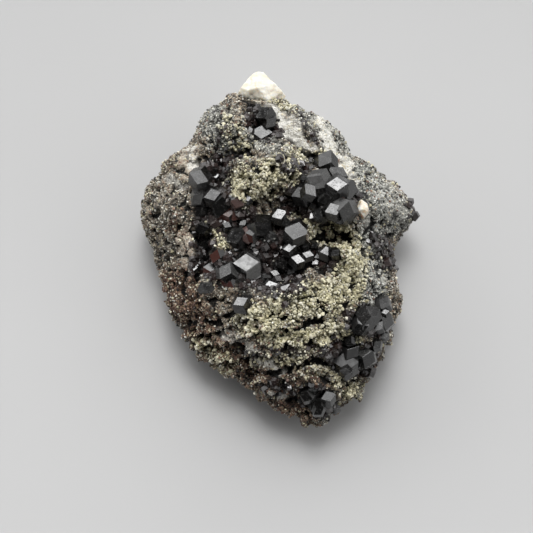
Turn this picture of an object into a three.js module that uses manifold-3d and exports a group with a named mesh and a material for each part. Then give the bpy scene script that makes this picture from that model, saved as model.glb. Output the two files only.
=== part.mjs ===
// Garnet in matrix: a hand specimen of black garnet crystals grown in and round the hollows of a
// granular rock, with a knob and a grain of white calcite. It lies on its broken back, face up.
// Units are millimetres, +Z is up, and the origin is the middle of the box's bottom.
import * as THREE from "three";
import { mergeVertices } from "three/addons/utils/BufferGeometryUtils.js";
import Module from "manifold-3d";

const wasm = await Module();
wasm.setup();
const RADIAN = Math.PI / 180;

// Driving dimensions
const CREST_HEIGHT = 33; // the rock's face over the surface that it lies on
const BACK_REACH = 0.8; // the flat back against the widest line
const FIT_GAP = 0.3; // between a crystal and the socket that it grew in
const CRUST_THICKNESS = 1; // of the garnet that lines the central hollow
// The rock is shaped from a ball, of which the face takes more than half.
const ROCK_DETAIL = 13;
const RIM_ANGLE = 118 * RADIAN;
// How far the rock's rounded lumps and slow waves stand out, and how wide they are.
const LUMP_RISE = 3;
const LUMP_WIDTH = 7.5;
const LUMP_MEAN = 0.66;
const WAVE_RISE = 0.9;
const WAVE_WIDTH = 5;

// Places on the face are measured square to a line of sight that leans back from upright:
// across to the right and up along the specimen, from a point over the middle of the back.
const SIGHT_ELEVATION = 70 * RADIAN;
const SIGHT_DISTANCE = 520;
const SIGHT_HEIGHT = 22;
const TOWARDS_EYE = new THREE.Vector3(0, -Math.cos(SIGHT_ELEVATION), Math.sin(SIGHT_ELEVATION));
const ACROSS = new THREE.Vector3(1, 0, 0);
const UPWARD = new THREE.Vector3(0, Math.sin(SIGHT_ELEVATION), Math.cos(SIGHT_ELEVATION));
const SIGHT_POINT = new THREE.Vector3(0, 0, SIGHT_HEIGHT);
const EYE = SIGHT_POINT.clone().addScaledVector(TOWARDS_EYE, SIGHT_DISTANCE);

// The point at a height that is seen at a place on the face.
function placeAt(across, up, height) {
  const seen = SIGHT_POINT.clone().addScaledVector(ACROSS, across).addScaledVector(UPWARD, up);
  const ray = seen.sub(EYE);
  return EYE.clone().addScaledVector(ray, (height - EYE.z) / ray.z);
}

// The widest line round the rock, clockwise from the top: across, up and height.
const WIDEST_LINE = [
  [-6, 39.5, 19], [1.5, 38, 19], [8, 34.4, 18], [13.3, 32.4, 17], [17, 28.4, 16], [18.6, 24.4, 15],
  [21, 22.2, 14], [25.6, 19, 13], [30, 15, 13], [33.6, 11.3, 13], [34.6, 7.5, 13], [32, 4.5, 12],
  [30, 1.5, 12], [29.5, -3.5, 12], [30, -9, 12], [31.8, -13, 12], [28.3, -22.5, 11], [24, -32, 10],
  [17.3, -40.8, 9], [13.5, -41.5, 9], [8.5, -44.5, 9], [4.5, -41.8, 9], [-1.5, -40.2, 9], [-7.3, -35, 9],
  [-19.5, -27, 9], [-23.3, -22.4, 10], [-27, -17, 11], [-30.3, -3, 12], [-34.8, 9.5, 14],
  [-33, 14.5, 14], [-27.3, 23, 15], [-21.5, 26.3, 15], [-20.4, 31, 16], [-17, 35.5, 17], [-11.5, 39, 18],
];
const LINE_STEPS = 1440;

// The rock's lumps, ledges and hollows: each runs from one place on the face to another,
// fades out over its half-width, and stands above (or lies below) the crest by its rise.
const FORMS = [
  // upper lumps and the ridge along the upper right edge
  { from: [-15, 31], to: [-11, 33], half: 8, rise: 5 },
  { from: [-20, 24.4], to: [-7, 24], half: 2.6, rise: -3.5 },
  { from: [-7, 17.2], to: [-1.5, 20.5], half: 8.8, rise: 8 },
  { from: [6, 32], to: [16, 22], half: 4, rise: 2.5 },
  { from: [12, 15], to: [16, 11], half: 8, rise: 4 },
  // the central hollow, its deeper ends and the black cleft at its left
  { from: [-15, 9.5], to: [-6, 4], half: 7, rise: -3.5 },
  { from: [-8, -0.5], to: [2, -7], half: 7, rise: -6 },
  { from: [-14.5, 20], to: [-13.5, 17], half: 4, rise: -9 },
  { from: [-18.5, 5], to: [-18.5, -3], half: 3.6, rise: -8 },
  { from: [11.5, 5], to: [17, 4.6], half: 3.2, rise: -6 },
  { from: [10, -2], to: [15, -3.5], half: 3.4, rise: -3.5 },
  { from: [-2.5, 12], to: [4, 11], half: 3, rise: -3.5 },
  // lower shelf and the ledges that step down from it
  { from: [-6, -17.5], to: [4, -15], half: 7, rise: 5.5 },
  { from: [4, -14], to: [16, -12], half: 8.5, rise: 4 },
  { from: [17.5, -3], to: [19.5, -6], half: 6.5, rise: 3.5 },
  { from: [-3, -23.4], to: [12, -21.8], half: 3.8, rise: 4.5 },
  { from: [-8, -26.8], to: [14, -25.8], half: 2.9, rise: -5 },
  { from: [-6, -30.5], to: [8, -30], half: 3, rise: 3.4 },
  { from: [-2, -35], to: [6, -35.5], half: 3, rise: -3 },
  { from: [-26, -12], to: [-9, -30], half: 6, rise: -3.5 },
  { from: [-20, -14], to: [-13, -20], half: 4, rise: 2.5 },
  // lower right knob and hollow, foot hollow and head hollow
  { from: [25, -17], to: [27, -21], half: 6.5, rise: 3.5 },
  { from: [17, -24], to: [19, -27], half: 4.8, rise: -8 },
  { from: [9, -36], to: [11, -37.5], half: 5, rise: -8 },
  { from: [-5, 33.5], to: [-4, 31.5], half: 4, rise: -9 },
  { from: [2, 34], to: [8, 25.5], half: 3.2, rise: -3 },
  // left shoulder, the block below it, right dent and the spur
  { from: [-28, 11], to: [-28, 5], half: 5.5, rise: 4 },
  { from: [-22.5, 1], to: [-22, -2.5], half: 4, rise: 3 },
  { from: [-27, 1], to: [-24, -8], half: 3.5, rise: -3 },
  { from: [26, 1.5], to: [26.5, -1.5], half: 4.5, rise: -5 },
  { from: [27, 12], to: [32, 10], half: 5, rise: 4 },
  { from: [22, 5], to: [24, -10], half: 3, rise: 2 },
];

// Stretches of the central hollow that a crust of garnet lines.
const CRUST_FORMS = [
  { from: [-15, 8.5], to: [-5, 3], half: 7 },
  { from: [-16, -3], to: [-15, -6], half: 4.5 },
  { from: [-12, -4], to: [1, -8], half: 7 },
];

// Flat breaks across the underside of the flanks: which way each faces, in degrees round from
// the right and up from level, and how deep it cuts.
const BREAKS = [
  { turn: 28, rise: -42, depth: 2.2 },
  { turn: 118, rise: -48, depth: 2.5 },
  { turn: 186, rise: -40, depth: 2 },
  { turn: 238, rise: -50, depth: 2.5 },
  { turn: 318, rise: -46, depth: 2.2 },
];

// A number from 0 to 1 that is always the same for the same three whole numbers.
function chance(i, j, k) {
  let mixed = Math.imul(i, 374761393) ^ Math.imul(j, 668265263) ^ Math.imul(k, 1442695041);
  mixed = Math.imul(mixed ^ (mixed >>> 13), 1274126177);
  return ((mixed ^ (mixed >>> 16)) >>> 0) / 4294967296;
}

// Smooth bumps and dents from -1 to 1, one about every cell.
function waves(point, cell, layer) {
  const [x, y, z] = [point.x / cell, point.y / cell, point.z / cell];
  const [i, j, k] = [Math.floor(x), Math.floor(y), Math.floor(z)];
  const ease = (t) => t * t * (3 - 2 * t);
  const [u, v, w] = [ease(x - i), ease(y - j), ease(z - k)];
  let sum = 0;
  for (let corner = 0; corner < 8; corner++) {
    const [a, b, c] = [corner & 1, (corner >> 1) & 1, corner >> 2];
    const share = (a ? u : 1 - u) * (b ? v : 1 - v) * (c ? w : 1 - w);
    sum += share * chance(i + a + 97 * layer, j + b, k + c);
  }
  return 2 * sum - 1;
}

// Rounded lumps with creases between them: 1 on top of a lump and 0 in a crease.
function lumps(point, cell, layer) {
  const [i, j, k] = [point.x, point.y, point.z].map((value) => Math.floor(value / cell));
  let nearest = Infinity;
  for (let a = i - 1; a <= i + 1; a++)
    for (let b = j - 1; b <= j + 1; b++)
      for (let c = k - 1; c <= k + 1; c++) {
        const seed = new THREE.Vector3(
          a + chance(a + 13 * layer, b, c),
          b + chance(a, b + 29 * layer, c),
          c + chance(a, b, c + 43 * layer),
        );
        nearest = Math.min(nearest, seed.multiplyScalar(cell).distanceTo(point));
      }
  return Math.max(0, 1 - (nearest / cell) ** 2);
}

// Radius and height of the widest line for each turn about the origin.
const widest = (() => {
  const stops = WIDEST_LINE.map(([across, up, height]) => placeAt(across, up, height));
  const line = new THREE.CatmullRomCurve3(stops, true, "centripetal").getPoints(LINE_STEPS);
  return line
    .slice(1)
    .map(({ x, y, z }) => ({ turn: Math.atan2(y, x), radius: Math.hypot(x, y), height: z }))
    .sort((a, b) => a.turn - b.turn);
})();

function widestAt(turn) {
  let low = 0;
  let high = widest.length - 1;
  while (high - low > 1) {
    const middle = (low + high) >> 1;
    if (widest[middle].turn < turn) low = middle;
    else high = middle;
  }
  return widest[high];
}

// How much of a form a point of the plan has: 1 along its middle, fading to 0 at its half-width.
function shareOf(form, plan) {
  const away = form.line.closestPointToPoint(plan, true, new THREE.Vector3()).distanceTo(plan) / form.half;
  return away < 1 ? (1 - away ** 3) ** 1.5 : 0;
}

// The largest of the values over 0, where several are near it a little more.
function strongest(values) {
  return Math.cbrt(values.reduce((sum, value) => sum + Math.max(0, value) ** 3, 0));
}

const inPlan = ({ from, to, ...rest }) => ({
  line: new THREE.Line3(placeAt(...from, CREST_HEIGHT).setZ(0), placeAt(...to, CREST_HEIGHT).setZ(0)),
  ...rest,
});
const forms = FORMS.map(inPlan);
const crustForms = CRUST_FORMS.map(inPlan);

// Height of the rock's face over a point of the plan.
function faceHeight(x, y) {
  const edge = widestAt(Math.atan2(y, x));
  const reach = Math.min(1, Math.hypot(x, y) / edge.radius);
  const dome = (1 - reach ** 3) ** 0.59;
  const plan = new THREE.Vector3(x, y, 0);
  const rises = forms.map((form) => form.rise * shareOf(form, plan));
  const crest = CREST_HEIGHT + strongest(rises) - strongest(rises.map((rise) => -rise));
  return edge.height + (crest - edge.height) * dome;
}

// Height of the back, which curls in under the widest line to a flat.
function backHeight(reach, turn, edgeHeight) {
  const foot = BACK_REACH + 0.05 * waves(new THREE.Vector3(Math.cos(turn), Math.sin(turn), 0), 0.4, 5);
  const rounding = Math.max(0, (reach - foot) / (1 - foot));
  return edgeHeight * (1 - Math.sqrt(1 - rounding ** 1.6));
}

// A point of the ball, carried to the rock's surface, roughened and, on the face, moved up by a lift.
function rockPoint(direction, liftOver) {
  const fromTop = Math.acos(direction.z);
  const onFace = fromTop < RIM_ANGLE;
  const bend = (Math.PI / 2) * (onFace ? fromTop / RIM_ANGLE : (Math.PI - fromTop) / (Math.PI - RIM_ANGLE));
  const reach = Math.sin(bend);
  const turn = Math.atan2(direction.y, direction.x);
  const edge = widestAt(turn);
  const [x, y] = [edge.radius * reach * Math.cos(turn), edge.radius * reach * Math.sin(turn)];
  const z = onFace ? faceHeight(x, y) : backHeight(reach, turn, edge.height);
  const point = new THREE.Vector3(x, y, z);
  const outward = new THREE.Vector3(
    reach * Math.cos(turn),
    reach * Math.sin(turn),
    onFace ? Math.cos(bend) : -Math.cos(bend),
  );
  const fade = onFace ? 1 - 0.4 * reach ** 4 : Math.min(0.6, z / 5);
  const rough =
    WAVE_RISE * waves(point, WAVE_WIDTH, 2) + LUMP_RISE * (lumps(point, LUMP_WIDTH, 3) - LUMP_MEAN);
  point.addScaledVector(outward, rough * fade);
  point.z += onFace ? liftOver(x, y) : 0;
  return point;
}

// A closed geometry as a solid that can be joined and cut.
function solidOf(geometry) {
  const bare = geometry.index ? geometry.toNonIndexed() : geometry.clone();
  bare.deleteAttribute("normal");
  bare.deleteAttribute("uv");
  const merged = mergeVertices(bare, 1e-4);
  return new wasm.Manifold(
    new wasm.Mesh({
      numProp: 3,
      vertProperties: merged.getAttribute("position").array,
      triVerts: new Uint32Array(merged.index.array),
    }),
  );
}

// A solid as a geometry whose own origin is at a place.
function geometryOf(solid, place) {
  const { numProp, vertProperties, triVerts } = solid.getMesh();
  const positions = new Float32Array((vertProperties.length / numProp) * 3);
  for (let i = 0; i * numProp < vertProperties.length; i++)
    positions.set(vertProperties.subarray(i * numProp, i * numProp + 3), i * 3);
  const geometry = new THREE.BufferGeometry()
    .setAttribute("position", new THREE.BufferAttribute(positions, 3))
    .setIndex(new THREE.BufferAttribute(triVerts, 1))
    .translate(-place.x, -place.y, -place.z);
  geometry.computeVertexNormals();
  return geometry;
}

function rockSolid(liftOver = () => 0) {
  const ball = new THREE.IcosahedronGeometry(1, ROCK_DETAIL);
  const at = ball.getAttribute("position");
  for (let i = 0; i < at.count; i++) {
    const point = rockPoint(new THREE.Vector3().fromBufferAttribute(at, i).normalize(), liftOver);
    at.setXYZ(i, point.x, point.y, point.z);
  }
  return solidOf(ball);
}

// The solid with what stands furthest out on one side broken off along a plane.
function breakOff(solid, { turn, rise, depth }) {
  const facing = new THREE.Vector3(Math.cos(rise * RADIAN), 0, Math.sin(rise * RADIAN));
  facing.applyAxisAngle(new THREE.Vector3(0, 0, 1), turn * RADIAN);
  const { numProp, vertProperties } = solid.getMesh();
  let furthest = 0;
  for (let i = 0; i < vertProperties.length; i += numProp)
    furthest = Math.max(furthest, facing.dot(new THREE.Vector3().fromArray(vertProperties, i)));
  return solid.trimByPlane(facing.negate().toArray(), depth - furthest);
}

// The crust with the crystals that stand on it follows the rock a gap away. It thins to nothing
// at the edge of its stretches.
function crustSolid(crystals) {
  const lift = (x, y) => {
    const plan = new THREE.Vector3(x, y, 0);
    const share = Math.max(...crustForms.map((form) => shareOf(form, plan)));
    return FIT_GAP + CRUST_THICKNESS * (1.6 * share - 0.6);
  };
  return largestOf(rockSolid(lift).add(crystals).subtract(rockSolid(() => FIT_GAP)));
}

// A garnet is a dodecahedron: twelve faces square to the edges of a cube. Narrow second faces,
// where it has them, plane off its edges. Directions of both, in the crystal's own axes:
const DODECAHEDRON = [];
const EDGE_FACES = [];
for (const a of [-1, 1])
  for (const b of [-1, 1]) {
    DODECAHEDRON.push([a, b, 0], [0, a, b], [b, 0, a]);
    for (const c of [-1, 1]) EDGE_FACES.push([2 * a, b, c], [a, 2 * b, c], [a, b, 2 * c]);
  }
// One face turned to the eye, with its long diagonal across.
const FACE_TO_EYE = new THREE.Quaternion().setFromRotationMatrix(
  new THREE.Matrix4().makeBasis(
    new THREE.Vector3(1, -1, 0).normalize(),
    new THREE.Vector3(0, 0, -1),
    new THREE.Vector3(1, 1, 0).normalize(),
  ).transpose(),
);
const EYE_TO_ROOM = new THREE.Quaternion().setFromRotationMatrix(
  new THREE.Matrix4().makeBasis(ACROSS, UPWARD, TOWARDS_EYE),
);

// A crystal's turn: its front face rolls in its own plane, leans back from the eye and turns aside.
function crystalTurn({ roll, lean, side }) {
  const leaned = new THREE.Euler(-lean * RADIAN, side * RADIAN, 0, "YXZ");
  return EYE_TO_ROOM.clone()
    .multiply(new THREE.Quaternion().setFromEuler(leaned))
    .multiply(new THREE.Quaternion().setFromAxisAngle(new THREE.Vector3(0, 0, 1), roll * RADIAN))
    .multiply(FACE_TO_EYE);
}

// The crystal's centre, for which its front face is seen at its place and it stands out of the rock.
function crystalCentre({ at, width, stand }, facing) {
  let height = CREST_HEIGHT;
  const centre = new THREE.Vector3();
  for (let round = 0; round < 16; round++) {
    centre.copy(placeAt(...at, height)).addScaledVector(facing, -width / 2);
    height += 0.6 * (faceHeight(centre.x, centre.y) + stand - centre.z);
  }
  return centre;
}

// The crystal as a solid, and its socket. Its faces lie unevenly far out, but the front one.
function crystalSolid(crystal) {
  const turn = crystalTurn(crystal);
  const facing = new THREE.Vector3(0, 0, 1).applyQuaternion(
    turn.clone().multiply(FACE_TO_EYE.clone().invert()),
  );
  const centre = crystalCentre(crystal, facing);
  const seed = Math.round(crystal.at[0] * 40 + crystal.at[1] * 900);
  const half = crystal.width / 2;
  const block = solidOf(new THREE.BoxGeometry(6 * half, 6 * half, 6 * half));
  const cutTo = (solid, directions, distanceOf, gap) =>
    directions.reduce((left, direction, index) => {
      const inward = new THREE.Vector3(...direction).normalize().applyQuaternion(turn).negate();
      return left.trimByPlane(inward.toArray(), -(distanceOf(direction, index) + gap));
    }, solid);
  const unevenly = (direction, index) => {
    const front = direction[0] > 0 && direction[1] > 0;
    return front ? half : half * (0.9 + 0.24 * chance(seed, index, 7));
  };
  const plain = cutTo(block, DODECAHEDRON, unevenly, 0);
  const solid = crystal.edges ? cutTo(plain, EDGE_FACES, () => half * crystal.edges, 0) : plain;
  const socket = cutTo(block, DODECAHEDRON, unevenly, FIT_GAP);
  return { solid: solid.translate(centre.toArray()), socket: socket.translate(centre.toArray()), centre };
}

// Where each crystal's front face is seen (across, up), its width between opposite faces, its
// turn in degrees, how far its centre stands over the rock, and how far out its edge faces lie.
const EDGES = 1.12;
const CRYSTAL_GROUPS = {
  garnet_crown: [
    { at: [10.2, 17], width: 6.4, roll: -27, lean: 5, side: -8, stand: 1.4, edges: EDGES },
    { at: [12.2, 23], width: 5.6, roll: 60, lean: 30, side: -10, stand: 0.8 },
    { at: [15.6, 19.6], width: 5, roll: -35, lean: 30, side: 15, stand: 0.8 },
    { at: [15.3, 16.6], width: 6.4, roll: 0, lean: 18, side: 2, stand: 2.4, edges: 1.1 },
    { at: [19, 15], width: 5.8, roll: 80, lean: 0, side: 32, stand: 1 },
    { at: [17.6, 9.4], width: 6.4, roll: 80, lean: -8, side: 12, stand: 1.6 },
    { at: [14.4, 10.4], width: 4.4, roll: 20, lean: 20, side: 5, stand: 2 },
    { at: [8.7, 15.2], width: 4, roll: -52, lean: 21, side: 8, stand: 2.6 },
    { at: [5.8, 14.2], width: 4.6, roll: 25, lean: 25, side: -15, stand: 1.4 },
    { at: [10.6, 8.8], width: 4, roll: 70, lean: 5, side: -20, stand: 1.4 },
    { at: [12.4, 12.4], width: 4, roll: 10, lean: 0, side: 0, stand: 0.8 },
  ],
  garnet_row: [
    { at: [4.8, 4.8], width: 5.8, roll: -12, lean: 13, side: 3, stand: 1.6 },
    { at: [3.2, 0.4], width: 3.2, roll: 8, lean: 20, side: 2, stand: 1.6 },
    { at: [5.2, -2.5], width: 3.7, roll: -13, lean: 20, side: 0, stand: 1.8 },
    { at: [8, -1.3], width: 2.8, roll: -16, lean: 20, side: 2, stand: 1.4 },
  ],
  garnet_row_end: [
    { at: [12.6, -0.6], width: 3.4, roll: 10, lean: 18, side: 5, stand: 1.4 },
    { at: [14.8, -1], width: 2.8, roll: 40, lean: 5, side: 10, stand: 1 },
  ],
  garnet_tilted: [{ at: [-9.5, -13.4], width: 4, roll: 30, lean: 24, side: -4, stand: 1.4 }],
  garnet_lower_right: [
    { at: [22, -17.2], width: 6, roll: 85, lean: 5, side: -18, stand: 1.4 },
    { at: [21.4, -20.4], width: 4.8, roll: 20, lean: -28, side: -5, stand: 0.8 },
    { at: [24.6, -16.6], width: 4.4, roll: 35, lean: 10, side: 15, stand: 0.8 },
  ],
  garnet_right_edge: [
    { at: [27.6, -13.6], width: 4.2, roll: 60, lean: 20, side: 15, stand: 0.6 },
    { at: [28, -18.4], width: 4.6, roll: 75, lean: 0, side: 25, stand: 0.6 },
    { at: [26, -19.6], width: 3.2, roll: 50, lean: 15, side: 5, stand: 1 },
  ],
  garnet_low_hollow: [
    { at: [17.4, -28.8], width: 6, roll: 0, lean: 16, side: 0, stand: 0.8 },
    { at: [19.4, -26.4], width: 4.8, roll: 50, lean: -5, side: 15, stand: 0.6 },
    { at: [23.4, -28.2], width: 4.8, roll: 70, lean: -8, side: 20, stand: 0.6 },
  ],
  garnet_foot: [
    { at: [12.8, -37.6], width: 4, roll: 20, lean: 15, side: 5, stand: 0.8 },
    { at: [10, -39.6], width: 4, roll: 50, lean: 0, side: -10, stand: 0.8 },
  ],
  garnet_foot_left: [{ at: [7.6, -37.6], width: 3.8, roll: -20, lean: -5, side: -15, stand: 0.6 }],
  garnet_head: [
    { at: [-3.4, 35], width: 4.8, roll: 32, lean: 14, side: -14, stand: -0.5 },
    { at: [-1.4, 32.2], width: 4, roll: 50, lean: -6, side: 18, stand: 0.1 },
    { at: [-4, 30], width: 5.2, roll: -3, lean: 24, side: 2, stand: 1.6 },
  ],
};

// The crystals that stand on the crust of the central hollow.
const HOLLOW_CRYSTALS = [
  // the largest crystal with what is grown into its sides
  { at: [-8, -3.4], width: 7.5, roll: 2, lean: 19, side: 2, stand: 3, edges: EDGES },
  { at: [-13.2, -5.4], width: 5, roll: 64, lean: 18, side: -10, stand: 0.4 },
  { at: [-12.4, -9.4], width: 5, roll: -38, lean: -22, side: -26, stand: -1.2 },
  { at: [-5.4, -5.8], width: 5, roll: 60, lean: -5, side: 15, stand: 1.8 },
  { at: [-16.2, -4.6], width: 4.8, roll: 0, lean: 28, side: 6, stand: 2.2 },
  { at: [-15.8, -1.8], width: 3.4, roll: 70, lean: -10, side: -20, stand: 1.2 },
  { at: [-18.6, -9.6], width: 3.6, roll: 30, lean: 10, side: -15, stand: 1 },
  { at: [-16.8, -10.2], width: 3, roll: -20, lean: -5, side: 5, stand: 0.8 },
  { at: [-1.5, -9.3], width: 3.6, roll: 15, lean: 20, side: 0, stand: 1.8 },
  { at: [2, -10.2], width: 3.4, roll: 55, lean: 22, side: -5, stand: 1.4 },
  // the middle of the hollow
  { at: [-3.4, 5], width: 5.8, roll: -40, lean: -15, side: 15, stand: 1.6 },
  { at: [0.5, 8.8], width: 3.8, roll: 20, lean: 20, side: 2, stand: 1.8 },
  { at: [-6.4, 4.4], width: 3.6, roll: 10, lean: 30, side: -5, stand: 2 },
  { at: [-7.6, 2.6], width: 3.8, roll: 0, lean: -20, side: 0, stand: 1.6 },
  { at: [-10.6, 3.2], width: 4.8, roll: 30, lean: 10, side: -10, stand: 1.2 },
  { at: [-10, 0.8], width: 2.8, roll: 55, lean: 15, side: 10, stand: 1 },
  { at: [-1.2, 3], width: 3.2, roll: 20, lean: 0, side: 10, stand: 1 },
  { at: [-3.8, 0.4], width: 2.8, roll: 35, lean: 15, side: 0, stand: 0.8 },
  { at: [-2.2, 0.2], width: 2.6, roll: 70, lean: -5, side: 10, stand: 0.8 },
  { at: [0.9, -4.2], width: 3.6, roll: 15, lean: 0, side: 10, stand: 0.6 },
  { at: [-2.6, -8.2], width: 3, roll: 40, lean: -10, side: 5, stand: 0.8 },
  // its upper left end
  { at: [-14.2, 10.6], width: 5.8, roll: 75, lean: -4, side: -12, stand: 1.6 },
  { at: [-12.2, 9.6], width: 4.2, roll: 10, lean: 20, side: -10, stand: 1.6 },
  { at: [-10, 8.8], width: 4.4, roll: 50, lean: -10, side: 10, stand: 1 },
  { at: [-10, 12], width: 3.6, roll: -15, lean: -15, side: 0, stand: 1.2 },
  { at: [-20, 18.4], width: 5.4, roll: -20, lean: 12, side: -5, stand: 1.6 },
  { at: [-16.5, 13.8], width: 5, roll: 17, lean: 12, side: 4, stand: 2.2, edges: EDGES },
  { at: [-20.4, 12.6], width: 4.6, roll: 40, lean: -5, side: -15, stand: 1 },
];

// A knob of calcite at the top and a grain of it by the crown: balls that have broken along flat
// faces. Each break faces round from the right, and up towards the eye, by degrees, and lies so
// far from the middle.
const CALCITE_LUMPS = {
  calcite_knob: {
    at: [-4.4, 40.3],
    height: 21,
    size: [7.2, 5.6, 6.2],
    breaks: [
      [142, 0, 4.2], [46, 0, 4], [92, -5, 4.6], [128, 42, 4.7], [64, 48, 4.6], [200, 38, 5.4], [246, 52, 4.9],
      [330, 40, 5.6], [10, 58, 5], [172, -24, 6], [14, -26, 6],
    ],
  },
  calcite_grain: {
    at: [21.7, 10],
    height: 32,
    size: [1.7, 2.7, 2.4],
    breaks: [[52, 16, 1.7], [148, 24, 1.5], [232, 20, 1.5], [322, 12, 1.6], [95, 58, 1.9], [275, 60, 1.9]],
  },
};

function calciteSolid({ at, height, size, breaks }, gap) {
  let solid = solidOf(new THREE.IcosahedronGeometry(1, 2).scale(...size.map((half) => half + gap)));
  for (const [turn, rise, reach] of breaks) {
    const level = Math.cos(rise * RADIAN);
    const facing = new THREE.Vector3(
      level * Math.cos(turn * RADIAN),
      level * Math.sin(turn * RADIAN),
      Math.sin(rise * RADIAN),
    ).applyQuaternion(EYE_TO_ROOM);
    solid = solid.trimByPlane(facing.negate().toArray(), -(reach + gap));
  }
  const centre = placeAt(...at, height);
  return { solid: solid.translate(centre.toArray()), centre };
}

function stone(color, roughness) {
  return new THREE.MeshStandardMaterial({ color, roughness, metalness: 0, flatShading: true });
}

const rockMaterial = stone(0x6e6a58, 0.95);
const garnetMaterial = stone(0x1d1a19, 0.28);
const calciteMaterial = stone(0xe9e4d6, 0.6);

const specimen = new THREE.Group();

function addPiece(name, solid, place, material) {
  const mesh = new THREE.Mesh(geometryOf(solid, place), material);
  mesh.name = name;
  mesh.position.copy(place);
  specimen.add(mesh);
}

// Of a solid that cuts have left in pieces, the largest, without the slivers.
function largestOf(solid) {
  return solid.decompose().sort((a, b) => b.volume() - a.volume())[0];
}

let rock = BREAKS.reduce(breakOff, rockSolid());
for (const [name, crystals] of Object.entries(CRYSTAL_GROUPS)) {
  const grown = crystals.map(crystalSolid);
  const together = grown.map(({ solid }) => solid).reduce((all, solid) => all.add(solid));
  rock = grown.reduce((left, { socket }) => left.subtract(socket), rock);
  addPiece(name, together, grown[0].centre, garnetMaterial);
}
const hollowCrystals = HOLLOW_CRYSTALS.map((crystal) => crystalSolid(crystal).solid);
const crust = crustSolid(hollowCrystals.reduce((all, solid) => all.add(solid)));
addPiece("garnet_crust", crust, new THREE.Vector3(), garnetMaterial);
for (const [name, lump] of Object.entries(CALCITE_LUMPS)) {
  const { solid, centre } = calciteSolid(lump, 0);
  rock = rock.subtract(calciteSolid(lump, FIT_GAP).solid);
  addPiece(name, solid, centre, calciteMaterial);
}
addPiece("matrix", largestOf(rock), new THREE.Vector3(), rockMaterial);

// The origin goes to the middle of the box's bottom.
specimen.updateMatrixWorld(true);
const box = new THREE.Box3().setFromObject(specimen, true);
specimen.position.sub(box.getCenter(new THREE.Vector3()).setZ(box.min.z));

export default specimen;
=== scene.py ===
"""Looks of a mineral specimen: black garnet crystals grown in the hollows of a granular rock.

The solids give every place and size. This script roughens the rock, strews its mineral grains
over it, sharpens the crystals and gives each its finish. Units are metres, +Z is up.
"""

import logging
import math
from collections.abc import Iterator
from contextlib import contextmanager
from dataclasses import dataclass, field
from enum import Enum

import bmesh
import bpy
import numpy as np
from mathutils import Matrix, Vector, noise
from mathutils.bvhtree import BVHTree


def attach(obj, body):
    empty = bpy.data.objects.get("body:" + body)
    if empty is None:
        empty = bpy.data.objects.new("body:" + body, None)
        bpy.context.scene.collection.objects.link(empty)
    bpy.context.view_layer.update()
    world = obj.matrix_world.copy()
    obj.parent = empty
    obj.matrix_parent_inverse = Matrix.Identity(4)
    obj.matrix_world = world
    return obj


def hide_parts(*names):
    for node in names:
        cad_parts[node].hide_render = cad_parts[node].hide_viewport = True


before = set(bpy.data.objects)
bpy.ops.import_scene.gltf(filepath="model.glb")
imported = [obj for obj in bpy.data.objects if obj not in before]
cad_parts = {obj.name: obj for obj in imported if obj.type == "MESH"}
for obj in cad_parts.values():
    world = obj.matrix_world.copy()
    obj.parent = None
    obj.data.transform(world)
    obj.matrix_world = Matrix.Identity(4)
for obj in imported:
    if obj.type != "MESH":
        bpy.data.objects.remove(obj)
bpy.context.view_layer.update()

LOG = logging.getLogger("specimen")
BODY = "root"
MM = 0.001
BAKE_MAP = "OFBake"
WELD = 0.002 * MM  # points of a CAD node that are nearer to each other than this become one
GRAIN_REACH = 1.6  # the furthest point of a grain from its middle, against its size
GARNET_SIDE = 1.2  # of the cube inside a small garnet, against its size
GARNET_TINT = 0.02  # the grey that small garnets carry, which their finish doesn't read
STRETCH_EDGE = 1.9  # how steeply a stretch of mineral fades towards its edge

CRYSTAL_NODES = (
    "garnet_crown",
    "garnet_row",
    "garnet_row_end",
    "garnet_tilted",
    "garnet_lower_right",
    "garnet_right_edge",
    "garnet_low_hollow",
    "garnet_foot",
    "garnet_foot_left",
    "garnet_head",
)
CRUST_NODE = "garnet_crust"
CALCITE_NODES = ("calcite_knob", "calcite_grain")

Point = tuple[float, float, float]
Colour = tuple[float, float, float]
Row = tuple[Colour, ...]
Spot = tuple[float, float]
Range = tuple[float, float]
Span = tuple[float, float, float, float]
Stops = tuple[tuple[float, Colour], ...]


class Mineral(Enum):
    """What a stretch of the rock is mostly made of; the dark stretches are partly the hollows' black garnet
    lining and partly painted shade.
    """

    EPIDOTE = "epidote"
    PALE = "pale"
    GREY = "grey"
    BROWN = "brown"
    TAN = "tan"
    DARK = "dark"


@dataclass(frozen=True)
class Sight:
    """The line of sight that places on the specimen's face are measured square to.

    Places are in millimetres across to the right and up along the specimen from the point that
    the sight aims at.
    """

    elevation: float = math.radians(70)
    distance: float = 520 * MM
    aim: Point = (-0.21 * MM, -3.4 * MM, 22 * MM)

    @property
    def towards_eye(self) -> Vector:
        """Direction from the specimen to the eye."""
        return Vector((0, -math.cos(self.elevation), math.sin(self.elevation)))

    @property
    def upward(self) -> Vector:
        """Direction that is seen as up along the specimen."""
        return Vector((0, math.sin(self.elevation), math.cos(self.elevation)))

    @property
    def eye(self) -> Vector:
        """Where the eye is."""
        return Vector(self.aim) + self.distance * self.towards_eye

    def places_of(self, points: np.ndarray) -> np.ndarray:
        """The places at which points are seen.

        Args:
            points: One row of x, y and z for each point.

        Returns:
            One row of across and up, in millimetres, for each point.
        """
        away = points - np.array(self.aim)
        nearer = self.distance / (self.distance - away @ np.array(self.towards_eye))
        across = away[:, 0] * nearer
        up = away @ np.array(self.upward) * nearer
        return np.stack([across, up], 1) / MM


SIGHT = Sight()


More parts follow.
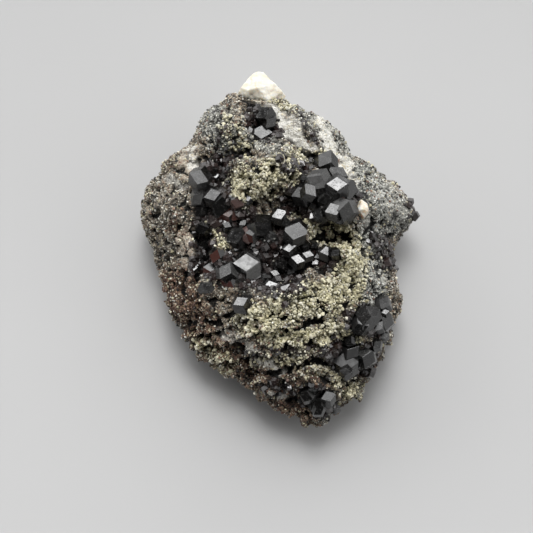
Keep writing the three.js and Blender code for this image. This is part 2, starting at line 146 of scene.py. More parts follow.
@dataclass(frozen=True)
class Stretch:
    """A stretch of the face that is rich in a mineral, from one place to another.

    Half is half of its width, in millimetres, and amount is how rich its middle is.
    """

    start: Spot
    end: Spot
    half: float
    amount: float = 1.0

    def share(self, places: np.ndarray, wander: np.ndarray) -> np.ndarray:
        """How rich in the mineral each place is.

        Args:
            places: One row of across and up for each place.
            wander: How far the stretch's edge is pushed out or in there, in millimetres.

        Returns:
            A number from 0 to the stretch's amount for each place.
        """
        start, end = np.array(self.start), np.array(self.end)
        run = end - start
        along = np.clip((places - start) @ run / max(run @ run, 1e-9), 0, 1)
        away = np.linalg.norm(places - start - along[:, None] * run, axis=1) - wander
        return self.amount * np.clip(STRETCH_EDGE - STRETCH_EDGE * away / self.half, 0, 1)


STRETCHES: dict[Mineral, tuple[Stretch, ...]] = {
    Mineral.EPIDOTE: (
        # the yellow boss over the hollow, and its neighbours
        Stretch((-9.5, 15.5), (1.5, 19.5), 5.4),
        Stretch((4.6, 24), (12.5, 23), 2.6, 0.7),
        Stretch((-2.5, 39.4), (2.5, 36.8), 2.4, 0.8),
        Stretch((-12.5, 31), (-8.4, 25), 3, 0.8),
        Stretch((-18.5, 8), (-14, 1), 2.2),
        Stretch((5.5, 8.8), (9.5, 5.2), 1.8),
        # right of the row, down to the lower shelf and its ledges
        Stretch((13.4, 6.4), (19, -2.5), 5.6),
        Stretch((19, -2.5), (18.5, -10.5), 5),
        Stretch((-6.5, -18.4), (3, -16), 5),
        Stretch((4, -14), (17, -12), 6, 0.9),
        Stretch((-1, -21.9), (13, -23), 3.6),
        Stretch((14, -20), (19, -23), 3.6, 0.8),
        Stretch((-5, -27.5), (13.5, -31), 3, 0.4),
        Stretch((-18.5, -25), (-13.5, -30), 3.4, 0.6),
        Stretch((17, -34), (21, -38), 4, 0.6),
    ),
    Mineral.PALE: (
        # white veins and rims
        Stretch((-1.6, 36), (0.6, 33.4), 2.2),
        Stretch((0.6, 33.4), (5.2, 28.6), 2.8),
        Stretch((5.2, 28.4), (8.2, 25.6), 2.2),
        Stretch((11, 32.6), (13.6, 26), 1.9, 0.9),
        Stretch((14.6, 24.6), (18.6, 21.6), 1.8, 0.9),
        Stretch((16.4, 21), (19.4, 17), 1.7),
        Stretch((-22.2, 25.4), (-20.8, 20.8), 1.7, 0.8),
        Stretch((-27, 17.3), (-22.7, 16.4), 1.3, 0.7),
        Stretch((11, -40.4), (17, -41.6), 1.6, 0.8),
        Stretch((-14, -21.4), (-5, -26), 1.6, 0.5),
        Stretch((-5.6, -28.2), (2, -31.2), 1.2, 0.8),
        Stretch((-3, -36.5), (2, -37.6), 1, 0.8),
        Stretch((21.3, 12), (22.4, 7.4), 1.2, 0.7),
        Stretch((28.5, 14), (32, 9), 4.6, 0.3),
    ),
    Mineral.GREY: (
        # flanks
        Stretch((21, 18), (31, 8), 7),
        Stretch((24, 6), (24, -11), 5.5),
        Stretch((5, 37), (18, 25), 4, 0.8),
        Stretch((-29, 12), (-28, 2), 6, 0.15),
        Stretch((-17, 34), (-12, 27), 6, 0.9),
        Stretch((-8, 29), (-2, 26), 3, 0.8),
        Stretch((-4, 28), (3, 24), 4, 0.7),
    ),
    Mineral.BROWN: (
        # flank and patches
        Stretch((-26, -10), (-15, -30), 7.5),
        Stretch((-9, -22), (-2, -26), 3, 0.5),
        Stretch((-13, -27), (0, -36), 4.6, 0.9),
        Stretch((0, -33), (10, -35), 5, 0.7),
        Stretch((-4, -38), (6, -43), 5.4),
        Stretch((-26, 6.5), (-24, 4), 2.4, 0.9),
    ),
    Mineral.TAN: (
        # pale blocks at the left
        Stretch((-22.9, 2.6), (-22, -3), 3),
        Stretch((-24, 22), (-22, 18), 2.2, 0.9),
    ),
    Mineral.DARK: (
        # hollows, near-black: partly their black garnet lining, partly painted shade
        Stretch((-14, 27), (-13.6, 22), 3, 0.5),
        Stretch((-15, 21), (-13.5, 13), 4),
        Stretch((-19, 8), (-18.5, -4), 3.6),
        Stretch((-14, 31), (-9.5, 26.5), 4.4, 0.34),
        Stretch((-15, 9), (0, 0), 6.5),
        Stretch((-16, -4), (3, -9), 5.4),
        Stretch((4, 12), (18, 12), 5),
        Stretch((10, -2), (14, -3.6), 2.2),
        Stretch((-5, 33), (-2, 30), 3.6),
        Stretch((26, 2), (29, -3), 3.6, 0.6),
        Stretch((34, 10.6), (34.4, 8.4), 1.2, 0.6),
        Stretch((1, 22), (8, 20.4), 2.2, 0.8),
        Stretch((-8, -26.8), (12, -26), 1.8, 0.5),
        Stretch((-2, -35), (6, -35.4), 1.8, 0.5),
        Stretch((5.6, 32.6), (11, 26), 1.6, 0.35),
        Stretch((20, -17), (26, -20), 4, 0.8),
        Stretch((15, -26), (22, -29), 5),
        Stretch((9, -37), (13, -40.4), 4.2),
    ),
}


def waves(points: np.ndarray, width: float, start: Point = (0, 0, 0)) -> np.ndarray:
    """Smooth noise from about -1 to 1 at each point, with features of some width."""
    offset = Vector(start)
    return np.array([noise.noise(Vector(point) / width + offset) for point in points])


def patches(points: np.ndarray, width: float, seed: int) -> np.ndarray:
    """A number from 0 to 1 at each point that is alike within patches of some width."""
    return np.clip(0.5 + 0.9 * waves(points, width, (seed, 2 * seed, 3 * seed)), 0, 1)


@dataclass
class Ground:
    """What the rock is made of at each of many points.

    The stretches are on the face that is seen. Below a height, in millimetres, broad patches of
    grey and brown take their place, and they are browner towards the lower left.
    """

    points: np.ndarray
    face_from: float = 7
    face_fade: float = 6
    edge_width: float = 2.4 * MM
    edge_wander: float = 1.9
    island_width: float = 3.1 * MM
    island_mean: float = 1.08
    island_swing: float = 1.5
    island_least: float = 0.2
    patch_width: float = 9 * MM
    patch_swing: float = 1.6
    patch_most: float = 0.8
    brown_side: float = 0.35
    brown_middle: float = -12 * MM
    brown_fade: float = 50 * MM
    shares: dict[Mineral, np.ndarray] = field(init=False)

    def __post_init__(self) -> None:
        """Weighs every mineral at the points."""
        places = SIGHT.places_of(self.points)
        wander = self.edge_wander * waves(self.points, self.edge_width)
        face = np.clip((self.points[:, 2] / MM - self.face_from) / self.face_fade, 0, 1)
        self.shares = {
            mineral: face * np.max([stretch.share(places, wander) for stretch in stretches], axis=0)
            for mineral, stretches in STRETCHES.items()
        }
        islands = self.island_mean + self.island_swing * waves(self.points, self.island_width, (2, 9, 4))
        self.shares[Mineral.EPIDOTE] *= np.clip(islands, self.island_least, 1)
        broad = waves(self.points, self.patch_width, (7, 3, 1))
        aside = (self.points[:, 0] + self.points[:, 1] - self.brown_middle) / self.brown_fade
        broad += self.brown_side * np.clip(aside, -1, 1)
        for mineral, swing in ((Mineral.GREY, self.patch_swing), (Mineral.BROWN, -self.patch_swing)):
            patch = np.clip(0.5 + swing * broad, 0, 1) * (1 - face)
            self.shares[mineral] = np.maximum(self.shares[mineral], self.patch_most * patch)

    def __getitem__(self, mineral: Mineral) -> np.ndarray:
        """The share of one mineral at each point."""
        return self.shares[mineral]


def deselect() -> None:
    """Leaves nothing selected."""
    if bpy.context.object and bpy.context.object.mode != "OBJECT":
        bpy.ops.object.mode_set(mode="OBJECT")
    bpy.ops.object.select_all(action="DESELECT")


def pick(piece: bpy.types.Object) -> bpy.types.Object:
    """Makes one object the selected and active one, and returns it."""
    deselect()
    piece.select_set(True)
    bpy.context.view_layer.objects.active = piece
    return piece


def apply_modifier(piece: bpy.types.Object, kind: str, **settings: object) -> None:
    """Adds a modifier to a piece and applies it.

    Args:
        piece: The object.
        kind: The modifier's type.
        settings: Its properties.
    """
    pick(piece)
    modifier = piece.modifiers.new(kind.lower(), kind)
    for name, value in settings.items():
        setattr(modifier, name, value)
    bpy.ops.object.modifier_apply(modifier=modifier.name)


@contextmanager
def editing() -> Iterator[None]:
    """Keeps the active object in edit mode for a while, with all of it selected at first."""
    bpy.ops.object.mode_set(mode="EDIT")
    bpy.ops.mesh.select_all(action="SELECT")
    try:
        yield
    finally:
        bpy.ops.object.mode_set(mode="OBJECT")


def new_object(name: str, data: bpy.types.ID) -> bpy.types.Object:
    """A new object in the scene."""
    made = bpy.data.objects.new(name, data)
    bpy.context.scene.collection.objects.link(made)
    return made


def remesh(piece: bpy.types.Object, voxel: float, rounds: int) -> None:
    """Makes a piece's mesh anew from voxels, and smooths it in some rounds."""
    apply_modifier(piece, "REMESH", mode="VOXEL", voxel_size=voxel)
    apply_modifier(piece, "SMOOTH", factor=0.5, iterations=rounds)


def copy_of(node: str, name: str) -> bpy.types.Object:
    """A copy of a CAD node with its loose triangles merged.

    Args:
        node: The node's name.
        name: The copy's name.

    Returns:
        The new object, which is selected.
    """
    piece = new_object(name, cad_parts[node].data.copy())
    piece.data.materials.clear()
    pick(piece)
    with editing():
        bpy.ops.mesh.remove_doubles(threshold=WELD)
    return piece


def points_of(mesh: bpy.types.Mesh, what: str = "co") -> np.ndarray:
    """One row of x, y and z for each vertex: its place, or another property of three numbers."""
    values = np.empty(len(mesh.vertices) * 3, np.float32)
    mesh.vertices.foreach_get(what, values)
    return values.reshape(-1, 3).astype(float)


def set_points(mesh: bpy.types.Mesh, points: np.ndarray) -> None:
    """Moves every vertex to its row of x, y and z."""
    mesh.vertices.foreach_set("co", points.astype(np.float32).ravel())
    mesh.update()


def tree_of(pieces: list[bpy.types.Object]) -> BVHTree:
    """A tree that finds the nearest point of several pieces' surfaces."""
    joined = bmesh.new()
    for piece in pieces:
        joined.from_mesh(piece.data)
    tree = BVHTree.FromBMesh(joined)
    joined.free()
    return tree


def clearance(tree: BVHTree, points: np.ndarray, reach: float = 3 * MM) -> np.ndarray:
    """How far points are outside the surfaces in a tree.

    Args:
        tree: The surfaces.
        points: One row of x, y and z for each point.
        reach: The distance past which a surface doesn't matter.

    Returns:
        The distance for each point, below 0 inside and never more than the reach.
    """
    distances = np.full(len(points), reach)
    for index, point in enumerate(points):
        spot, normal, _, distance = tree.find_nearest(Vector(point), reach)
        if spot is not None:
            outside = (Vector(point) - spot).dot(normal) >= 0
            distances[index] = distance if outside else -distance
    return distances


def add_colours(mesh: bpy.types.Mesh, name: str, *channels: np.ndarray) -> None:
    """Stores a colour for each vertex, from all the reds, all the greens and all the blues."""
    colours = np.stack([*channels, np.ones(len(mesh.vertices))], 1)
    attribute = mesh.attributes.new(name, "FLOAT_COLOR", "POINT")
    attribute.data.foreach_set("color", colours.astype(np.float32).ravel())


def finish_piece(
    piece: bpy.types.Object, material: bpy.types.Material, smooth: bool = False
) -> None:
    """Gives a piece its shading, material and body.

    Args:
        piece: The object.
        material: Its finish.
        smooth: Whether it is rounded, and not made of flat faces.
    """
    pick(piece)
    if smooth:
        bpy.ops.object.shade_smooth()
    else:
        bpy.ops.object.shade_flat()
    piece.data.materials.clear()
    piece.data.materials.append(material)
    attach(piece, BODY)
    piece.data.calc_loop_triangles()
    LOG.info("%s: %d triangles", piece.name, len(piece.data.loop_triangles))


def coat(piece: bpy.types.Object, looks: np.ndarray, material: bpy.types.Material) -> None:
    """Finishes a piece of many small garnets that have a look each.

    Args:
        piece: The garnets, which all have the same number of vertices.
        looks: One row of haze, painted warm reflection, and frost with painted light for each.
        material: The garnet.
    """
    each = len(piece.data.vertices) // len(looks)
    add_colours(piece.data, "faces", *np.repeat(looks, each, axis=0).T)
    finish_piece(piece, material)


class Nodes:
    """A node tree of a material or a world, written as nested calls."""

    def __init__(self, owner: bpy.types.ID, output: str) -> None:
        """Empties the owner's tree but for an output node of a type."""
        owner.use_nodes = True
        self.owner = owner
        self.tree = owner.node_tree
        self.tree.nodes.clear()
        self.output = self.tree.nodes.new(output)

    @classmethod
    def of_material(cls, name: str) -> "Nodes":
        """Starts a new material."""
        return cls(bpy.data.materials.new(name), "ShaderNodeOutputMaterial")

    def add(self, kind: str, inputs: dict | None = None, **settings: object) -> bpy.types.Node:
        """Adds a node.

        Args:
            kind: The node's type without its ShaderNode prefix.
            inputs: Values or sockets for its inputs, by name or number.
            settings: Its properties.

        Returns:
            The node.
        """
        node = self.tree.nodes.new("ShaderNode" + kind)
        for name, value in settings.items():
            setattr(node, name, value)
        for key, value in (inputs or {}).items():
            if isinstance(value, bpy.types.NodeSocket):
                self.tree.links.new(value, node.inputs[key])
            else:
                node.inputs[key].default_value = value
        return node

    def math(self, operation: str, *values: object) -> bpy.types.NodeSocket:
        """The result of a Math node."""
        return self.add("Math", dict(enumerate(values)), operation=operation).outputs[0]

    def mix(self, factor: object, first: object, second: object, how: str = "MIX") -> bpy.types.NodeSocket:
        """A colour mixed from two."""
        inputs = {0: factor, 6: opaque(first), 7: opaque(second)}
        node = self.add("Mix", inputs, data_type="RGBA", blend_type=how)
        return node.outputs[2]

    def noise(self, vector: object, size: float, detail: float = 3, rough: float = 0.6) -> bpy.types.Node:
        """A noise whose features are about a size, in metres."""
        inputs = {"Vector": vector, "Scale": 1 / size, "Detail": detail, "Roughness": rough}
        return self.add("TexNoise", inputs)

    def cells(self, vector: object, size: float) -> bpy.types.Node:
        """Voronoi cells of about a size, in metres."""
        return self.add("TexVoronoi", {"Vector": vector, "Scale": 1 / size})

    def ramp(self, factor: object, stops: Stops) -> bpy.types.NodeSocket:
        """A colour that jumps at stops.

        Args:
            factor: The place along the ramp.
            stops: Each place from 0 to 1 with the colour that starts there.

        Returns:
            The colour's socket.
        """
        node = self.add("ValToRGB", {0: factor})
        ramp = node.color_ramp
        ramp.interpolation = "CONSTANT"
        while len(ramp.elements) < len(stops):
            ramp.elements.new(1)
        for element, (place, colour) in zip(ramp.elements, stops):
            element.position = place
            element.color = opaque(colour)
        return node.outputs[0]

    def spread(
        self, value: object, low: float, high: float, to_low: float = 0, to_high: float = 1
    ) -> bpy.types.NodeSocket:
        """A value carried from one range to another, and held within it."""
        inputs = {0: value, 1: low, 2: high, 3: to_low, 4: to_high}
        return self.add("MapRange", inputs, clamp=True).outputs[0]

    def stored(self, name: str) -> bpy.types.NodeSocket:
        """A colour that is stored on the mesh."""
        return self.add("Attribute", attribute_name=name, attribute_type="GEOMETRY").outputs["Color"]

    def channels(self, colour: object) -> bpy.types.bpy_prop_collection:
        """The red, green and blue of a colour."""
        return self.add("SeparateColor", {0: colour}).outputs

    def place(self) -> bpy.types.NodeSocket:
        """Object coordinates."""
        return self.add("TexCoord").outputs["Object"]

    def bump(self, height: object, strength: float, depth: float) -> bpy.types.NodeSocket:
        """A normal roughened by a height of some depth in metres."""
        return self.add("Bump", {"Strength": strength, "Distance": depth, "Height": height}).outputs[0]

    def shade(self, colour: object, amount: object) -> bpy.types.NodeSocket:
        """A colour times an amount."""
        grey = self.add("CombineColor", {0: amount, 1: amount, 2: amount}).outputs[0]
        return self.mix(1.0, colour, grey, "MULTIPLY")

    def surface(self, **inputs: object) -> bpy.types.Material:
        """Ends the tree with a Principled shader and returns the material."""
        named = {name.replace("_", " "): value for name, value in inputs.items()}
        shader = self.add("BsdfPrincipled", named)
        self.tree.links.new(shader.outputs[0], self.output.inputs[0])
        return self.owner


def opaque(colour: object) -> object:
    """A colour with its alpha, or the socket that it is."""
    return colour if isinstance(colour, bpy.types.NodeSocket) else (*colour, 1.0)


@dataclass(frozen=True)
class RockFinish:
    """Granular rock: every cell of it is a grain with a colour of its own, from its stretch's row."""

    plain: Stops = (
        (0, (0.04, 0.034, 0.028)),
        (0.2, (0.11, 0.095, 0.075)),
        (0.38, (0.22, 0.18, 0.14)),
        (0.54, (0.36, 0.28, 0.2)),
        (0.7, (0.46, 0.42, 0.34)),
        (0.84, (0.72, 0.67, 0.56)),
    )
    grey: Stops = (
        (0, (0.045, 0.045, 0.042)),
        (0.2, (0.11, 0.112, 0.102)),
        (0.36, (0.22, 0.225, 0.2)),
        (0.52, (0.4, 0.405, 0.365)),
        (0.7, (0.58, 0.58, 0.53)),
        (0.86, (0.84, 0.84, 0.8)),
    )
    brown: Stops = (
        (0, (0.012, 0.009, 0.007)),
        (0.26, (0.085, 0.046, 0.03)),
        (0.5, (0.18, 0.105, 0.066)),
        (0.7, (0.32, 0.22, 0.13)),
        (0.84, (0.56, 0.5, 0.38)),
    )
    tan: Stops = (
        (0, (0.26, 0.16, 0.12)),
        (0.14, (0.52, 0.42, 0.33)),
        (0.4, (0.62, 0.54, 0.43)),
        (0.75, (0.78, 0.73, 0.63)),
    )
    epidote: Stops = (
        (0, (0.03, 0.028, 0.016)),
        (0.24, (0.17, 0.155, 0.07)),
        (0.42, (0.44, 0.41, 0.22)),
        (0.62, (0.72, 0.68, 0.5)),
    )
    pale: Stops = ((0, (0.62, 0.57, 0.47)), (0.14, (0.8, 0.78, 0.7)), (0.3, (0.9, 0.88, 0.82)))
    # near-black of the dark stretches: partly the hollows' garnet lining, partly painted shade
    dark: Stops = ((0, (0.008, 0.008, 0.007)), (0.6, (0.025, 0.024, 0.022)), (0.84, (0.09, 0.088, 0.08)))
    grain: float = 0.42 * MM
    patch: float = 2.4 * MM
    shake_width: float = 0.9 * MM
    shake: float = 0.5 * MM
    own_tone: float = 0.76
    grit: float = 0.25 * MM
    relief: float = 0.35 * MM
    patch_span: Range = (0.32, 0.68)
    # painted shade in the pits: the openness over which the colour darkens, and to how dark
    hollows: Span = (0.14, 0.55, 0.03, 1)
    # painted shade in the grooves between grains: the cell distance over which the colour darkens, and to
    # how dark
    gaps: Span = (0.4, 0.8, 1, 0.5)
    # the least brightness that the pale veins keep under the painted shade of pits and grooves
    pale_veins_unshaded: Range = (0.85, 0.9)
    roughness: Range = (0.85, 0.55)

    def material(self) -> bpy.types.Material:
        """Builds the material, with painted shade in the hollows and in the grooves between grains, less of
        it on the pale veins.
        """
        make = Nodes.of_material("rock")
        place = make.place()
        shake = make.noise(place, self.shake_width).outputs["Color"]
        wobble = make.add("VectorMath", {0: shake, "Scale": self.shake}, operation="SCALE").outputs[0]
        moved = make.add("VectorMath", {0: place, 1: wobble}, operation="ADD").outputs[0]
        cells = make.cells(moved, self.grain)
        own = make.math("MULTIPLY", make.channels(cells.outputs["Color"])[0], self.own_tone)
        patch = make.spread(make.noise(place, self.patch).outputs[0], *self.patch_span)
        each = make.math("ADD", own, make.math("MULTIPLY", patch, 1 - self.own_tone))
        zones, blocks, veins = (make.channels(make.stored(name)) for name in ("zones", "blocks", "veins"))
        colour = make.ramp(each, self.plain)
        for share, row in (
            (zones[1], self.grey),
            (zones[2], self.brown),
            (blocks[0], self.tan),
            (zones[0], self.epidote),
            # the dark stretches paint the hollows near-black, partly as painted shade
            (veins[1], self.dark),
            (veins[0], self.pale),
        ):
            colour = make.mix(share, colour, make.ramp(each, row))
        # painted shade: darker where the rock is sunk in among its surroundings
        hollow_shade = make.spread(veins[2], *self.hollows)
        # painted shade in the grooves that the bump below sinks between grains
        gap_shade = make.spread(cells.outputs["Distance"], *self.gaps)
        # paints both shades onto the colour, but hardly onto the pale veins
        for shade, light in zip((hollow_shade, gap_shade), self.pale_veins_unshaded):
            shade = make.math("MAXIMUM", shade, make.math("MULTIPLY", veins[0], light))
            colour = make.shade(colour, shade)
        fine = make.noise(place, self.grit, 2).outputs[0]
        height = make.math("SUBTRACT", fine, make.math("MULTIPLY", cells.outputs["Distance"], 1.2))
        normal = make.bump(height, 0.9, self.relief)
        rough = make.spread(each, 0, 1, *self.roughness)
        return make.surface(Base_Color=colour, Roughness=rough, Normal=normal)


@dataclass(frozen=True)
class GrainFinish:
    """Loose grains that carry their own colour."""

    name: str
    roughness: float
    speck: float = 0.35 * MM
    relief: float = 0.12 * MM
    specks: Span = (0.3, 0.7, 0.72, 1.15)

    def material(self) -> bpy.types.Material:
        """Builds the material."""
        make = Nodes.of_material(self.name)
        specks = make.noise(make.place(), self.speck).outputs[0]
        colour = make.shade(make.stored("tint"), make.spread(specks, *self.specks))
        normal = make.bump(specks, 0.5, self.relief)
        return make.surface(Base_Color=colour, Roughness=self.roughness, Normal=normal)


@dataclass(frozen=True)
class GarnetFinish:
    """Near-black garnet, glassy where fresh.

    Each face's own haze, painted warm reflection, and frost with painted light are stored on the
    mesh. A thin film and dust in the pits lie over all of them.
    """

    name: str = "garnet"
    body: Colour = (0.0045, 0.0042, 0.004)
    # a painted warm reflection on left-facing faces
    warm_reflection: Colour = (0.075, 0.03, 0.024)
    dust: Colour = (0.22, 0.21, 0.2)
    # grey of frost, and of the painted light on right-facing faces
    frost_and_painted_light: Colour = (0.21, 0.21, 0.205)
    index: float = 1.72
    film: float = 1.6 * MM
    pits: float = 0.32 * MM
    relief: float = 0.05 * MM
    film_span: Range = (0.42, 0.66)
    frost_span: Span = (0.35, 0.6, 0.5, 1)
    dust_span: Range = (0.56, 0.68)
    dust_most: float = 0.45
    pit_span: Range = (0.6, 0.78)
    roughness: Range = (0.12, 0.5)
    film_roughness: float = 0.13
    frost_roughness: float = 0.14

    def material(self) -> bpy.types.Material:
        """Builds the material."""
        make = Nodes.of_material(self.name)
        place = make.place()
        haze, warm_reflection, frost_and_painted_light = list(make.channels(make.stored("faces")))[:3]
        film = make.spread(make.noise(place, self.film).outputs[0], *self.film_span)
        pits = make.noise(place, self.pits, 2, 0.7).outputs[0]
        # paints the warm reflection on the faces that carry it
        colour = make.mix(warm_reflection, self.body, self.warm_reflection)
        # speckled grey of frost and of painted light
        speckled = make.math("MULTIPLY", frost_and_painted_light, make.spread(pits, *self.frost_span))
        colour = make.mix(speckled, colour, self.frost_and_painted_light)
        dusty = make.math("MULTIPLY", film, self.dust_most)
        dusty = make.math("MULTIPLY", make.spread(pits, *self.dust_span), dusty)
        colour = make.mix(dusty, colour, self.dust)
        rough = make.spread(haze, 0, 1, *self.roughness)
        for look, amount in ((film, self.film_roughness), (frost_and_painted_light, self.frost_roughness)):
            rough = make.math("ADD", rough, make.math("MULTIPLY", look, amount))
        height = make.math("ADD", make.spread(pits, *self.pit_span), make.math("MULTIPLY", film, 0.3))
        normal = make.bump(height, 0.5, self.relief)
        return make.surface(Base_Color=colour, Roughness=rough, IOR=self.index, Normal=normal)


@dataclass(frozen=True)
class CalciteFinish:
    """Cream-white calcite that light soaks into."""

    name: str = "calcite"
    white: Colour = (0.8, 0.785, 0.72)
    cream: Colour = (0.74, 0.69, 0.57)
    amber: Colour = (0.62, 0.42, 0.2)
    stained: float = 0.12
    clouds: float = 3 * MM
    stains: float = 1.3 * MM
    steps: float = 0.9 * MM
    relief: float = 0.25 * MM
    soak: Point = (2 * MM, 1.6 * MM, 1.1 * MM)
    cloud_span: Range = (0.4, 0.62)
    stain_span: Range = (0.42, 0.7)

    def material(self) -> bpy.types.Material:
        """Builds the material."""
        make = Nodes.of_material(self.name)
        place = make.place()
        cloud = make.noise(place, self.clouds).outputs[0]
        stain = make.noise(place, self.stains).outputs[0]
        colour = make.mix(make.spread(cloud, *self.cloud_span), self.white, self.cream)
        colour = make.mix(make.spread(stain, *self.stain_span, 0, self.stained), colour, self.amber)
        steps = make.cells(place, self.steps).outputs["Distance"]
        normal = make.bump(make.math("ADD", steps, stain), 0.4, self.relief)
        return make.surface(
            Base_Color=colour,
            Roughness=0.5,
            Normal=normal,
            Subsurface_Weight=0.35,
            Subsurface_Radius=self.soak,
            Subsurface_Scale=1.0,
        )


@dataclass(frozen=True)
class FloorFinish:
    """The plain pale surface that the specimen lies on, with painted shade that makes it a little darker
    past it.
    """

    grey: Colour = (0.505, 0.505, 0.505)
    clouds: float = 60 * MM
    fade: Range = (-20 * MM, 160 * MM)
    far: float = 0.88
    mottle: Span = (0.3, 0.7, 0.985, 1.0)

    def material(self) -> bpy.types.Material:
        """Builds the material."""
        make = Nodes.of_material("floor")
        soft = make.noise(make.place(), self.clouds).outputs[0]
        along = make.add("SeparateXYZ", {0: make.place()}).outputs[1]
        near = make.spread(soft, *self.mottle)
        # painted shade, darker towards the back
        shade = make.math("MULTIPLY", near, make.spread(along, *self.fade, 1, self.far))
        colour = make.shade(self.grey, shade)
        return make.surface(Base_Color=colour, Roughness=1.0, Specular_IOR_Level=0.1)


def texture(kind: str, size: float) -> bpy.types.Texture:
    """A procedural texture for displacement, with features of about a size."""
    made = bpy.data.textures.new(kind.lower(), kind)
    made.noise_scale = size
    return made


def rounded(value: np.ndarray, low: float, high: float) -> np.ndarray:
    """A value carried from between two limits to 0 to 1, easing in and out."""
    share = np.clip((value - low) / (high - low), 0, 1)
    return share * share * (3 - 2 * share)


